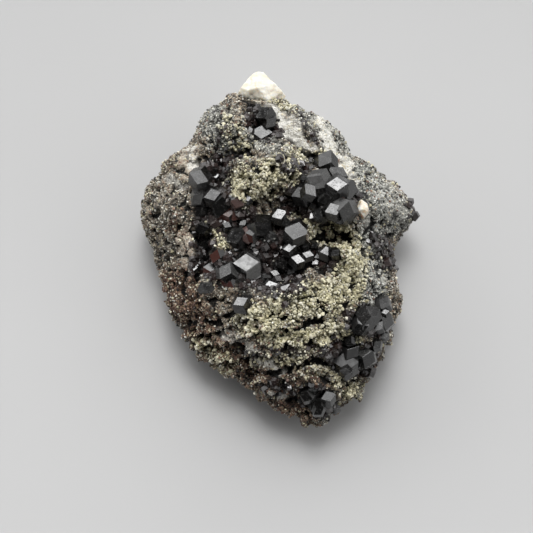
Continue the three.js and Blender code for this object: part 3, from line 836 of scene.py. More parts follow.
@dataclass
class Rock:
    """The rock itself, roughened, with its sockets closed round the crystals.

    Near a crystal the remeshed rock follows the crystal's own surface, so there it is sunk into
    the crystal, and the roughness comes in a little further off. Heights of the ledges are in
    millimetres up the face.
    """

    voxel: float = 0.48 * MM
    grip: float = 0.5 * MM  # how near to a crystal the rock follows it
    bury: float = 0.9 * MM
    calm_from: float = 0.6 * MM
    calm_fade: float = 1.4 * MM
    solid_reach: float = 4 * MM
    proud: float = 1.4 * MM  # how far out of the solid rock the crust is a crystal, not a lining
    proud_fade: float = 0.3 * MM
    cover: float = 0.25 * MM
    cover_most: float = 0.25 * MM
    cover_least: float = 0.05  # the share from which on a vertex counts as cover
    foot: float = 1.2 * MM  # the height up to which the rock stays plain
    foot_fade: float = 2 * MM
    lump_widths: tuple[float, ...] = (5.4 * MM, 2.4 * MM, 1.2 * MM)
    lump_rises: tuple[float, ...] = (2.3 * MM, 1.2 * MM, 0.45 * MM)
    lump_level: float = 0.32  # higher moves more of the rock out, and lower in
    plain_lumps: float = 0.6
    grey_lumps_less: float = 0.25
    smooth_lumps_less: float = 0.6
    crack_width: float = 4.4 * MM
    crack_depth: float = 1.4 * MM
    crack_share: float = 0.16  # of a block between cracks
    plain_cracks: float = 0.4  # depth where nothing is porous, against the deepest
    pit_width: float = 2.5 * MM
    pit_depth: float = 3.2 * MM
    pit_noise: Range = (0.1, 0.34)  # at which a pit starts and at which it is deepest
    plain_pits: float = 0.55
    grey_pits_less: float = 0.7
    smooth_pits_less: float = 0.8
    ledge_step: float = 4.2
    ledge_rise: float = 2.4 * MM
    ledge_slope: float = 0.22
    ledge_wander: float = 2.6
    ledge_wander_width: float = 6 * MM
    ledges_below: float = -17
    ledges_fade: float = 5
    grit_width: float = 0.8 * MM
    grit_rise: float = 0.3 * MM
    level: float = 0.55  # the openness of a flat place
    blurs: tuple[tuple[int, float], ...] = ((10, 0.8 * MM), (50, 2.4 * MM))  # rounds, and height that is 1
    piece: bpy.types.Object = field(init=False)
    openness: np.ndarray = field(init=False)

    def build(self, crystals: list[bpy.types.Object], tree: BVHTree, crust: BVHTree, solid: BVHTree) -> None:
        """Remeshes the rock with its crystals, buries their copies in them and roughens the rest.

        Args:
            crystals: Plain copies of the pieces that grow in the rock.
            tree: The surfaces of those that have sockets.
            crust: The surface of the one that has none.
            solid: The rock's own surface.
        """
        self.piece = copy_of("matrix", "rock")
        parts = [new_object(crystal.name, crystal.data.copy()) for crystal in crystals]
        pick(self.piece)
        for part in parts:
            part.select_set(True)
        bpy.ops.object.join()
        remesh(self.piece, self.voxel, 2)
        self._roughen(*self._loosen(tree, crust, solid))
        self.openness = self._openness(self.piece.data)

    def _touching(self, gaps: np.ndarray) -> np.ndarray:
        """1 within half a grip of a surface and 0 from one and a half on, from how far off it is."""
        return np.clip(1.5 - gaps / self.grip, 0, 1)

    def _loosen(self, tree: BVHTree, crust: BVHTree, solid: BVHTree) -> tuple[np.ndarray, np.ndarray]:
        """Moves what follows a crystal to inside the crystal, and the rest of the crust's to over it.

        Args:
            tree: The surfaces of the crystals that have sockets.
            crust: The crust's surface.
            solid: The rock's own surface.

        Returns:
            How freely each vertex may be roughened, from 0 to 1, and whether it covers the crust.
        """
        mesh = self.piece.data
        points, normals = points_of(mesh), points_of(mesh, "normal")
        gaps = np.abs(clearance(tree, points))
        near = self._touching(gaps)
        on_crust = self._touching(np.abs(clearance(crust, points)))
        high = np.clip((clearance(solid, points, self.solid_reach) - self.proud) / self.proud_fade, 0, 1)
        near = np.maximum(near, on_crust * high)
        skin = on_crust * (1 - high) * (1 - near)
        points += normals * (self.cover * skin - self.bury * near)[:, None]
        set_points(mesh, points)
        free = np.clip((gaps - self.calm_from) / self.calm_fade, 0, 1) * (near <= 0)
        free *= np.clip((points[:, 2] - self.foot) / self.foot_fade, 0, 1)
        return free, skin > self.cover_least

    def _roughen(self, free: np.ndarray, skin: np.ndarray) -> None:
        """Raises lumps, ledges and grit and sinks cracks and pits, each where the rock has them.

        Args:
            free: How freely each vertex may move.
            skin: Whether it covers the crust, where it only moves up a little.
        """
        mesh = self.piece.data
        points, normals = points_of(mesh), points_of(mesh, "normal")
        ground = Ground(points)
        epidote, grey = ground[Mineral.EPIDOTE], ground[Mineral.GREY]
        smooth = np.maximum(ground[Mineral.PALE], ground[Mineral.TAN])
        lumpy = np.maximum(epidote, self.plain_lumps - self.grey_lumps_less * grey)
        lumpy *= 1 - self.smooth_lumps_less * smooth
        porous = np.maximum(epidote, self.plain_pits) * (1 - self.grey_pits_less * grey)
        porous *= 1 - self.smooth_pits_less * smooth
        places = [Vector(point) for point in points]
        rise = np.zeros(len(points))
        for width, height in zip(self.lump_widths, self.lump_rises):
            nearest = np.array([noise.voronoi(place / width)[0][0] for place in places])
            rise += height * lumpy * (self.lump_level - nearest**2)
        start = Vector((5, 2, 8))
        pairs = np.array([noise.voronoi(place / self.crack_width + start)[0][:2] for place in places])
        deep = 1 - rounded(pairs[:, 1] - pairs[:, 0], 0, self.crack_share)
        rise -= self.crack_depth * (self.plain_cracks + (1 - self.plain_cracks) * porous) * deep
        rise -= self.pit_depth * porous * rounded(waves(points, self.pit_width), *self.pit_noise)
        rise += self.grit_rise * waves(points, self.grit_width)
        rise += self.ledge_rise * self._ledges(points)
        rise = np.where(skin, np.clip(rise, 0, self.cover_most), rise)
        points += normals * (free * rise)[:, None]
        points[:, 2] = np.maximum(points[:, 2], 0)
        set_points(mesh, points)

    def _ledges(self, points: np.ndarray) -> np.ndarray:
        """Steps that run across the lower part of the face: from -0.5 under one to 0.5 on its edge."""
        across, up = SIGHT.places_of(points).T
        wander = self.ledge_wander * waves(points, self.ledge_wander_width)
        step = ((up - self.ledge_slope * across + wander) / self.ledge_step) % 1
        return (0.5 - step) * np.clip((self.ledges_below - up) / self.ledges_fade, 0, 1)

    def dress(self) -> None:
        """Stores what the rock is made of on its mesh, and finishes it."""
        mesh = self.piece.data
        ground = Ground(points_of(mesh))
        none = np.zeros(len(mesh.vertices))
        add_colours(mesh, "zones", ground[Mineral.EPIDOTE], ground[Mineral.GREY], ground[Mineral.BROWN])
        # the third channel is the openness, from which the rock's finish paints shade into the pits
        add_colours(mesh, "veins", ground[Mineral.PALE], ground[Mineral.DARK], self.openness)
        add_colours(mesh, "blocks", ground[Mineral.TAN], none, none)
        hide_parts("matrix")
        finish_piece(self.piece, RockFinish().material())

    def _openness(self, mesh: bpy.types.Mesh) -> np.ndarray:
        """How far each vertex stands out of its surroundings, from 0 in a pit to 1 on a bump."""
        points, normals = points_of(mesh), points_of(mesh, "normal")
        edges = np.empty(len(mesh.edges) * 2, np.int32)
        mesh.edges.foreach_get("vertices", edges)
        first, second = edges.reshape(-1, 2).T
        count = np.bincount(edges, minlength=len(points))
        mean = points.copy()
        stands = np.full(len(points), self.level)
        for rounds, reach in self.blurs:
            for _ in range(rounds):
                for axis in range(3):
                    total = np.bincount(first, mean[second, axis], len(points))
                    total += np.bincount(second, mean[first, axis], len(points))
                    mean[:, axis] = total / count
            stands += np.einsum("ij,ij->i", points - mean, normals) / reach
        return np.clip(stands, 0, 1)


def corners_of(mesh: bpy.types.Mesh) -> np.ndarray:
    """One row of three vertices for each of a mesh's triangles."""
    mesh.calc_loop_triangles()
    corners = np.empty(len(mesh.loop_triangles) * 3, np.int32)
    mesh.loop_triangles.foreach_get("vertices", corners)
    return corners.reshape(-1, 3)


@dataclass
class Surface:
    """A piece's surface, to strew grains on."""

    piece: bpy.types.Object
    openness: np.ndarray

    def spots(self, count: int, seed: int) -> tuple[np.ndarray, np.ndarray, np.ndarray]:
        """Spots that lie evenly at random over the surface.

        Args:
            count: How many.
            seed: Of the random numbers.

        Returns:
            Their places, the surface's normals and how far it stands out there.
        """
        mesh = self.piece.data
        corners = corners_of(mesh)
        points, normals = points_of(mesh), points_of(mesh, "normal")
        a, b, c = (points[corners[:, k]] for k in range(3))
        area = np.linalg.norm(np.cross(b - a, c - a), axis=1)
        chance = np.random.default_rng(seed)
        chosen = chance.choice(len(area), count, p=area / area.sum())
        u, v = chance.random(count), chance.random(count)
        flip = u + v > 1
        u[flip], v[flip] = 1 - u[flip], 1 - v[flip]
        share = np.stack([1 - u - v, u, v], 1)[:, :, None]
        spots = (points[corners[chosen]] * share).sum(1)
        facing = (normals[corners[chosen]] * share).sum(1)
        stands = (self.openness[corners[chosen]] * share[:, :, 0]).sum(1)
        return spots, facing / np.linalg.norm(facing, axis=1, keepdims=True), stands


@dataclass
class Shape:
    """A small shape that is copied many times."""

    points: np.ndarray
    triangles: np.ndarray

    @classmethod
    def of(cls, piece: bpy.types.Object) -> "Shape":
        """Takes the mesh of an object over and removes the object."""
        shape = cls(points_of(piece.data), corners_of(piece.data))
        bpy.data.objects.remove(piece)
        return shape


def granule(seed: int, uneven: float = 0.42) -> Shape:
    """A rounded grain with a radius of about 1, whose points wander by up to an unevenness."""
    deselect()
    bpy.ops.mesh.primitive_ico_sphere_add(subdivisions=1, radius=1)
    with editing():
        bpy.ops.transform.vertex_random(offset=uneven, seed=seed, normal=0.5)
    return Shape.of(bpy.context.object)


def chip(seed: int, size: float = 1.7, cuts: int = 3, depths: Range = (0.55, 0.85)) -> Shape:
    """An angular fragment with a radius of about 1: a block broken along flat faces."""
    chance = np.random.default_rng(seed)
    deselect()
    bpy.ops.mesh.primitive_cube_add(size=size)
    with editing():
        for _ in range(cuts):
            facing = Vector(chance.normal(size=3)).normalized()
            bpy.ops.mesh.select_all(action="SELECT")
            bpy.ops.mesh.bisect(
                plane_co=facing * chance.uniform(*depths),
                plane_no=facing,
                use_fill=True,
                clear_outer=True,
            )
    return Shape.of(bpy.context.object)


def small_garnet() -> Shape:
    """A dodecahedron of twelve diamonds: a cube with a low pyramid on each side."""
    deselect()
    bpy.ops.mesh.primitive_cube_add(size=GARNET_SIDE)
    with editing():
        bpy.ops.mesh.poke(offset=GARNET_SIDE / 2)
    return Shape.of(bpy.context.object)


@dataclass
class Grains:
    """Where many grains lie, how large they are and what colour each has."""

    spots: np.ndarray
    sizes: np.ndarray
    colours: np.ndarray

    def keep(self, wanted: np.ndarray) -> "Grains":
        """Only some of the grains."""
        return Grains(self.spots[wanted], self.sizes[wanted], self.colours[wanted])

    def settled(self, wanted: np.ndarray, tree: BVHTree, share: float, count: int) -> "Grains":
        """The first of the wanted grains that stand clear of other surfaces and of the floor.

        Args:
            wanted: Whether each grain is wanted.
            tree: The other surfaces.
            share: How far outside them a grain's middle has to be, against its size.
            count: The most grains to keep.

        Returns:
            The grains.
        """
        grains = self.keep(wanted)
        clear = clearance(tree, grains.spots) > share * grains.sizes
        clear &= grains.spots[:, 2] > GRAIN_REACH * grains.sizes
        return grains.keep(np.nonzero(clear)[0][:count])

    def piece(
        self, name: str, shapes: list[Shape], seed: int, turns: np.ndarray | None = None
    ) -> bpy.types.Object:
        """Copies shapes to every grain's place as one mesh.

        Args:
            name: The piece's name.
            shapes: The shapes to choose from.
            seed: Of the choice and the turns.
            turns: A rotation matrix for each grain, or none to leave them to chance.

        Returns:
            The piece.
        """
        chance = np.random.default_rng(seed)
        choice = chance.integers(len(shapes), size=len(self.spots))
        if turns is None:
            turns = rotations(len(self.spots), chance)
        points, triangles, tints, maps = [], [], [], []
        start = 0
        columns = math.ceil(math.sqrt(len(self.spots)))
        for index, shape in enumerate(shapes):
            members = np.nonzero(choice == index)[0]
            local = np.einsum("nij,pj->npi", turns[members], shape.points)
            local *= self.sizes[members, None, None]
            points.append((local + self.spots[members, None, :]).reshape(-1, 3))
            count = len(shape.points)
            offsets = start + count * np.arange(len(members))
            triangles.append((shape.triangles[None] + offsets[:, None, None]).reshape(-1, 3))
            tints.append(np.repeat(self.colours[members], count, axis=0))
            cell = np.stack([members % columns, members // columns], 1)
            flat = 0.5 + 0.4 * shape.points[:, :2] / np.abs(shape.points[:, :2]).max()
            spread = (cell[:, None, :] + flat[None]) / columns
            maps.append(spread[:, shape.triangles.ravel()].reshape(-1, 2))
            start += count * len(members)
        return mesh_piece(name, *(np.concatenate(rows) for rows in (points, triangles, tints, maps)))


def rotations(count: int, chance: np.random.Generator) -> np.ndarray:
    """Random turns as rotation matrices."""
    q = chance.normal(size=(count, 4))
    w, x, y, z = (q / np.linalg.norm(q, axis=1, keepdims=True)).T
    rows = [
        [1 - 2 * (y * y + z * z), 2 * (x * y - z * w), 2 * (x * z + y * w)],
        [2 * (x * y + z * w), 1 - 2 * (x * x + z * z), 2 * (y * z - x * w)],
        [2 * (x * z - y * w), 2 * (y * z + x * w), 1 - 2 * (x * x + y * y)],
    ]
    return np.moveaxis(np.array(rows), 2, 0)


def mesh_piece(
    name: str, points: np.ndarray, triangles: np.ndarray, tints: np.ndarray, maps: np.ndarray
) -> bpy.types.Object:
    """A new object from arrays.

    Args:
        name: Its name.
        points: One row of x, y and z for each vertex.
        triangles: One row of three vertices for each face.
        tints: One colour for each vertex.
        maps: One row of u and v for each corner.

    Returns:
        The object.
    """
    mesh = bpy.data.meshes.new(name)
    mesh.vertices.add(len(points))
    mesh.vertices.foreach_set("co", points.astype(np.float32).ravel())
    mesh.loops.add(triangles.size)
    mesh.loops.foreach_set("vertex_index", triangles.astype(np.int32).ravel())
    mesh.polygons.add(len(triangles))
    mesh.polygons.foreach_set("loop_start", np.arange(0, triangles.size, 3, dtype=np.int32))
    mesh.update(calc_edges=True)
    layer = mesh.uv_layers.new(name=BAKE_MAP)
    layer.data.foreach_set("uv", maps.astype(np.float32).ravel())
    add_colours(mesh, "tint", *tints.T)
    return new_object(name, mesh)


def palette(
    colours: Row, tone: np.ndarray, chance: np.random.Generator, stray: float = 0.16, uneven: float = 0.14
) -> np.ndarray:
    """Colours from along a row of them, each a little off.

    Args:
        colours: The row.
        tone: Where along it each one is, from 0 to 1.
        chance: The random numbers.
        stray: How far each strays along the row.
        uneven: How much lighter or darker each is.

    Returns:
        One colour for each tone.
    """
    place = np.clip(tone + stray * chance.normal(size=len(tone)), 0, 1) * (len(colours) - 1)
    low = np.minimum(place.astype(int), len(colours) - 2)
    share = (place - low)[:, None]
    row = np.array(colours)
    drawn = row[low] * (1 - share) + row[low + 1] * share
    return drawn * (1 + uneven * chance.normal(size=(len(tone), 1))).clip(0.5, 1.4)


GRAIN_COLOURS: dict[Mineral, Row] = {
    Mineral.EPIDOTE: (
        (0.2, 0.18, 0.1),
        (0.42, 0.38, 0.24),
        (0.6, 0.56, 0.38),
        (0.72, 0.68, 0.5),
        (0.82, 0.79, 0.66),
    ),
    Mineral.PALE: ((0.66, 0.58, 0.42), (0.8, 0.78, 0.69), (0.88, 0.86, 0.79)),
    Mineral.GREY: ((0.12, 0.12, 0.11), (0.32, 0.32, 0.29), (0.48, 0.48, 0.44), (0.72, 0.72, 0.67)),
    Mineral.BROWN: ((0.05, 0.03, 0.024), (0.15, 0.08, 0.058), (0.29, 0.18, 0.125), (0.46, 0.37, 0.27)),
    Mineral.DARK: ((0.008, 0.008, 0.008), (0.02, 0.019, 0.018), (0.045, 0.042, 0.04)),
}


@dataclass(frozen=True)
class Crumbs:
    """Yellow-green granules, heaped where the rock stands out, with gaps between them."""

    count: int = 9600
    tried: int = 110000
    seeds: tuple[int, int, int] = (11, 13, 17)
    size: float = 0.17 * MM
    vary: float = 0.58
    limits: Range = (0.4, 3.2)
    heap: Range = (0.42, 0.72)
    heap_wander: float = 0.6
    clump_width: float = 1.5 * MM
    tone_width: float = 3.4 * MM
    tone: tuple[float, float, float] = (0.15, 0.5, 0.35)  # the least, of its patch, and painted light where the rock stands out
    lift: float = 0.1  # of its size above the surface, and up to all of it in a clump
    elsewhere: float = 0.02
    shapes: int = 8
    clear: float = 0.6

    def strew(self, rock: Surface, tree: BVHTree) -> None:
        """Makes them.

        Args:
            rock: The rock's surface.
            tree: The surfaces that stay clear.
        """
        own, places, turns = self.seeds
        chance = np.random.default_rng(own)
        spots, facing, stands = rock.spots(self.tried, places)
        ground = Ground(spots)
        plain = 1 - np.maximum(ground[Mineral.DARK], ground[Mineral.GREY])
        share = np.maximum(ground[Mineral.EPIDOTE] * (1 - ground[Mineral.PALE]), self.elsewhere * plain)
        clump = patches(spots, self.clump_width, 3)
        heaped = rounded(stands + self.heap_wander * (clump - 0.5), *self.heap)
        wanted = chance.random(len(spots)) < share * heaped
        sizes = self.size * chance.lognormal(0, self.vary, len(spots)).clip(*self.limits)
        least, patchy, painted_light_on_bumps = self.tone
        # painted light: grains lighter where the rock stands out, darker in its pits
        tone = least + patchy * patches(spots, self.tone_width, 5) + painted_light_on_bumps * stands
        tints = palette(GRAIN_COLOURS[Mineral.EPIDOTE], tone, chance)
        lift = sizes * (self.lift + (1 - self.lift) * clump)
        grains = Grains(spots + facing * lift[:, None], sizes, tints)
        grains = grains.settled(wanted, tree, self.clear, self.count)
        piece = grains.piece("epidote_crumbs", [granule(seed) for seed in range(self.shapes)], turns)
        finish_piece(piece, GrainFinish("epidote", 0.6).material())


@dataclass(frozen=True)
class FineGrains:
    """Fine angular grains of one mineral, and a few of them where the rock isn't rich in it."""

    name: str
    mineral: Mineral
    count: int
    size: float
    seed: int
    elsewhere: float
    spare: int = 4  # spots tried for each grain
    shapes: int = 4
    vary: float = 0.35
    limits: Range = (0.45, 1.9)
    heap: Range = (0.1, 0.5)
    foot: float = 1.5 * MM
    lift: float = 0.15
    clear: float = 0.7
    tone_width: float = 2.2 * MM
    tan_less: float = 0.85
    warm_less: float = 0.7
    dark_less: float = 0.8

    def _share(self, ground: Ground) -> np.ndarray:
        """How many of the tried grains lie at each point, from 0 to 1."""
        share = np.maximum(ground[self.mineral], self.elsewhere)
        if self.mineral is not Mineral.PALE:
            share *= 1 - ground[Mineral.PALE]
        share *= 1 - self.tan_less * ground[Mineral.TAN]
        if self.mineral in (Mineral.DARK, Mineral.GREY):
            share *= 1 - self.warm_less * np.maximum(ground[Mineral.EPIDOTE], ground[Mineral.BROWN])
        elif self.mineral is not Mineral.PALE:
            share *= 1 - self.dark_less * ground[Mineral.DARK]
        return share

    def strew(self, rock: Surface, tree: BVHTree) -> None:
        """Makes them.

        Args:
            rock: The rock's surface.
            tree: The surfaces that stay clear.
        """
        chance = np.random.default_rng(self.seed)
        spots, facing, stands = rock.spots(self.count * self.spare, self.seed + 1)
        wanted = chance.random(len(spots)) < self._share(Ground(spots)) * rounded(stands, *self.heap)
        wanted &= spots[:, 2] > self.foot
        sizes = self.size * chance.lognormal(0, self.vary, len(spots)).clip(*self.limits)
        tints = palette(GRAIN_COLOURS[self.mineral], patches(spots, self.tone_width, self.seed), chance)
        grains = Grains(spots + facing * (self.lift * sizes)[:, None], sizes, tints)
        grains = grains.settled(wanted, tree, self.clear, self.count)
        piece = grains.piece(self.name, [chip(self.seed + k) for k in range(self.shapes)], self.seed + 2)
        finish_piece(piece, GrainFinish(self.name.replace("_", " "), 0.5).material())


STREWN: tuple[Crumbs | FineGrains, ...] = (
    Crumbs(),
    FineGrains("fine_epidote", Mineral.EPIDOTE, 9800, 0.17 * MM, 31, 0.1),
    FineGrains("grey_grains", Mineral.GREY, 8000, 0.15 * MM, 37, 0.3),
    FineGrains("brown_grains", Mineral.BROWN, 6600, 0.17 * MM, 41, 0.15),
    FineGrains("pale_grains", Mineral.PALE, 7800, 0.14 * MM, 43, 0.2),
    FineGrains("dark_grains", Mineral.DARK, 4600, 0.22 * MM, 47, 0.12),
)


@dataclass
class Crystals:
    """A group of grown-together garnets: sharp faces with narrow worn edges.

    Each face has a little haze and frost of its own. Faces that turn to the left carry a painted warm
    reflection at some places and are fresh at others, and those that turn to the right get painted
    light at others. The crystals at the dull places are hazed all over.
    """

    node: str
    wear: float = 0.07 * MM
    flat: float = math.radians(1.5)
    sharp: float = math.radians(18)
    leftward: Vector = Vector((-0.7, -0.7, 0.15))
    left_least: float = 0.25
    rightward: Vector = Vector((0.5, -0.7, 0.5))
    right_least: float = 0.8
    # places where left-facing faces get the painted warm reflection
    warm_reflection_spots: tuple[Spot, ...] = (
        (-17, -2.9),
        (-7.9, 2.8),
        (-12.6, -8.9),
        (-17.6, -7.1),
        (-9.7, 12),
        (-12, 8.4),
    )
    fresh: tuple[Spot, ...] = ((-10.4, -6.6), (13.6, 12.6), (-9.6, -15), (-4.6, 33.4))
    left_reach: float = 2.2
    # places where right-facing faces get painted light, in place of a light from the right
    painted_light_spots: tuple[Spot, ...] = ((-5.6, -5.9), (21, -17), (24, -15))
    painted_light_reach: float = 1.8
    dull: tuple[Spot, ...] = ((17.6, -28.6),)
    dull_reach: float = 3.2
    usual_haze: float = 0.18
    usual_frost: float = 0.4
    frost_from: float = 0.35
    look_turn: float = 3.1
    look_width: float = 9 * MM

    def build(self) -> bpy.types.Object:
        """Copies the solid, makes each face whole again and bevels its edges.

        Returns:
            The piece.
        """
        piece = copy_of(self.node, self.node.replace("garnet_", "garnets_"))
        with editing():
            bpy.ops.mesh.dissolve_limited(angle_limit=self.flat)
        apply_modifier(
            piece,
            "BEVEL",
            width=self.wear,
            segments=1,
            limit_method="ANGLE",
            angle_limit=self.sharp,
            use_clamp_overlap=True,
        )
        self._vary(piece.data)
        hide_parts(self.node)
        return piece

    def _vary(self, mesh: bpy.types.Mesh) -> None:
        """Stores every face's look."""
        places = SIGHT.places_of(np.array([face.center for face in mesh.polygons]))
        looks = []
        for face, place in zip(mesh.polygons, places):
            looks += [*self._look(face, place), 1] * face.loop_total
        mesh.attributes.new("faces", "FLOAT_COLOR", "CORNER").data.foreach_set("color", looks)

    def _look(self, face: bpy.types.MeshPolygon, place: np.ndarray) -> Colour:
        """A face's haze, painted warm reflection, and frost with painted light.

        Args:
            face: The face.
            place: Where it is seen.

        Returns:
            The three, from 0 to 1.
        """
        spot = face.normal * self.look_turn + face.center / self.look_width
        haze = self.usual_haze * (1 + _swing(spot, (12.9, 78.2, 37.7)))
        frost_and_painted_light = max(0.0, _swing(spot, (31.3, 17.9, 53.1)) - self.frost_from) * self.usual_frost
        # painted warm reflection on left-facing faces near its spots; none where they are fresh
        warm_reflection = 0.0
        left = face.normal.dot(self.leftward) > self.left_least
        if left and _nearest(self.warm_reflection_spots, place) < self.left_reach:
            warm_reflection = 1.0
        if left and _nearest(self.fresh, place) < self.left_reach:
            haze, warm_reflection, frost_and_painted_light = 0.0, 0.0, 0.0
        if _nearest(self.dull, place) < self.dull_reach:
            haze, frost_and_painted_light = 1.0, 0.0
        # painted light on right-facing faces near its spots
        right = face.normal.dot(self.rightward) > self.right_least
        if right and _nearest(self.painted_light_spots, place) < self.painted_light_reach:
            frost_and_painted_light = 1.0
        return haze, warm_reflection, frost_and_painted_light


def _swing(spot: Vector, turns: Point) -> float:
    """A number from -1 to 1 that jumps about from one spot to the next."""
    return math.sin(sum(turn * value for turn, value in zip(turns, spot)))


def _nearest(spots: tuple[Spot, ...], place: np.ndarray) -> float:
    """How far a place is from the nearest of some spots."""
    return min(math.dist(spot, place) for spot in spots)


@dataclass
class Druse:
    """Small garnets that line the hollows between the large ones."""

    rock: Surface
    count: int = 3600
    tried: int = 60000
    seed: int = 61
    size: float = 0.55 * MM
    vary: float = 0.45
    limits: Range = (0.5, 2.6)
    density: float = 0.6
    clear: float = 0.15
    # the most haze, painted warm reflection and frost of each
    strongest: Colour = (0.24, 0.3, 0.12)

    def build(self, material: bpy.types.Material, tree: BVHTree) -> None:
        """Strews them over the crust and the dark hollows.

        Args:
            material: The garnet.
            tree: The large crystals' surfaces.
        """
        chance = np.random.default_rng(self.seed)
        spots, _, _ = self.rock.spots(self.tried, self.seed + 1)
        wanted = chance.random(len(spots)) < Ground(spots)[Mineral.DARK] ** 2 * self.density
        sizes = self.size * chance.lognormal(0, self.vary, len(spots)).clip(*self.limits)
        grains = Grains(spots, sizes, np.full((len(spots), 3), GARNET_TINT))
        grains = grains.settled(wanted, tree, self.clear, self.count)
        piece = grains.piece("small_garnets", [small_garnet()], self.seed + 2)
        looks = np.stack([chance.random(len(grains.spots)) for _ in range(3)], 1)
        coat(piece, looks * self.strongest, material)


@dataclass(frozen=True)
class Seedling:
    """A small crystal: where it is seen, its width between faces and its turn in degrees."""

    at: Spot
    width: float
    roll: float
    lean: float
    side: float

    def turn(self) -> Matrix:
        """Its turn: the front face rolls, leans back from the eye and turns aside."""
        room = Matrix([(1, 0, 0), SIGHT.upward, SIGHT.towards_eye]).transposed()
        half = math.sqrt(0.5)
        front = Matrix([(half, -half, 0), (0, 0, -1), (half, half, 0)])
        lean = Matrix.Rotation(math.radians(-self.lean), 3, "X")
        side = Matrix.Rotation(math.radians(self.side), 3, "Y")
        roll = Matrix.Rotation(math.radians(self.roll), 3, "Z")
        return room @ side @ lean @ roll @ front


@dataclass
class Seedlings:
    """The small crystals that stand alone between the large ones."""

    face_to_face: float = GARNET_SIDE * math.sqrt(2)
    lift: float = 0.12
    haze: float = 0.11
    crystals: tuple[Seedling, ...] = (
        Seedling((-15.6, 18.4), 2, 10, 20, 0),
        Seedling((10.5, -2.3), 2.4, 20, 24, 6),
        Seedling((7.1, 0.8), 2.4, -10, 8, -12),
        Seedling((9.4, 0.9), 2.2, 35, 0, 8),
        Seedling((-21.2, -5.1), 2.2, 5, 18, 0),
        Seedling((1.5, -3.8), 3.2, 20, -6, -10),
        Seedling((3.3, -5.4), 3, 50, 2, 12),
        Seedling((-7.4, 12.5), 2.2, 15, 22, -4),
        Seedling((6.6, 18.1), 2, 30, 6, 10),
        Seedling((27.5, -16.3), 2, 12, 20, 4),
        Seedling((17.6, -31.4), 3, -8, 10, -8),
        Seedling((25.2, -24.5), 3, 40, 6, 14),
        Seedling((27, -22.4), 2.6, 18, 16, 10),
        Seedling((18.4, -23.2), 2.8, 55, -4, -12),
        Seedling((-6.4, 36), 3, 25, 4, -16),
        Seedling((9.2, -35.4), 3, 10, 8, 12),
        Seedling((10.5, -41.1), 3, 35, -6, 4),
        Seedling((14.8, -40.5), 2.6, 0, 14, 10),
        Seedling((-19.4, 9.7), 3.2, 45, -4, -10),
        Seedling((-18.6, 5.4), 3.8, 12, -14, -16),
        Seedling((-18.2, 1.4), 3.6, 60, -10, -12),
        Seedling((-18.9, -2.2), 3.2, 30, -16, 10),
        Seedling((-12.6, 5.6), 2.6, -24, 26, -8),
        Seedling((-8.8, 6.4), 2.4, 30, 16, 8),
        Seedling((2.6, 6.4), 2.2, 44, 4, -6),
        Seedling((-0.6, -6.4), 2.4, -16, 17, 4),
    )

    def build(self, material: bpy.types.Material, tree: BVHTree) -> None:
        """Sets each on what is seen at its place.

        Args:
            material: The garnet.
            tree: The surfaces that they grow on.
        """
        centres = np.array([self._seat(crystal, tree) for crystal in self.crystals])
        scales = np.array([crystal.width * MM / self.face_to_face for crystal in self.crystals])
        turns = np.array([np.array(crystal.turn()) for crystal in self.crystals])
        grains = Grains(centres, scales, np.full((len(centres), 3), GARNET_TINT))
        piece = grains.piece("garnet_seedlings", [small_garnet()], 0, turns)
        coat(piece, np.tile((self.haze, 0, 0), (len(centres), 1)), material)

    def _seat(self, crystal: Seedling, tree: BVHTree) -> Vector:
        """The middle of a crystal, a little nearer to the eye than what is seen at its place."""
        across, up = (MM * value for value in crystal.at)
        seen = Vector(SIGHT.aim) + Vector((across, 0, 0)) + up * SIGHT.upward
        hit, _, _, _ = tree.ray_cast(SIGHT.eye, (seen - SIGHT.eye).normalized())
        return hit + self.lift * crystal.width * MM * SIGHT.towards_eye


@dataclass
class Calcite:
    """A lump of calcite with rounded knobs and stepped breaks."""

    node: str
    voxel: float
    rise: float
    knobs: float = 3 * MM
    breaks: float = 1.4 * MM

    def build(self, material: bpy.types.Material) -> None:
        """Remeshes the solid finely, swells it in places and steps it."""
        piece = copy_of(self.node, self.node.replace("calcite_", "calcite_lump_"))
        remesh(piece, self.voxel, 3)
        for kind, size, rise in (
            ("CLOUDS", self.knobs, 1.6 * self.rise),
            ("VORONOI", self.breaks, -self.rise),
        ):
            settings = {"texture": texture(kind, size), "strength": rise}
            apply_modifier(piece, "DISPLACE", texture_coords="LOCAL", mid_level=0.5, **settings)
        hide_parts(self.node)
        finish_piece(piece, material, smooth=True)


@dataclass(frozen=True)
class Panel:
    """A soft patch of light on the room's walls, as the specimen sees it."""

    towards: Point
    half: float
    fade: float
    colour: Colour

    def light(self, make: Nodes, direction: bpy.types.NodeSocket) -> bpy.types.NodeSocket:
        """The panel's light in each direction.

        Args:
            make: The world's tree.
            direction: The direction's socket.

        Returns:
            The colour's socket.
        """
        middle = Vector(self.towards).normalized()
        near = make.add("VectorMath", {0: direction, 1: middle}, operation="DOT_PRODUCT").outputs["Value"]
        outer = math.cos(math.radians(self.half + self.fade))
        inner = math.cos(math.radians(max(0.0, self.half - self.fade)))
        share = make.spread(near, outer, inner)
        return make.mix(share, (0, 0, 0), self.colour)


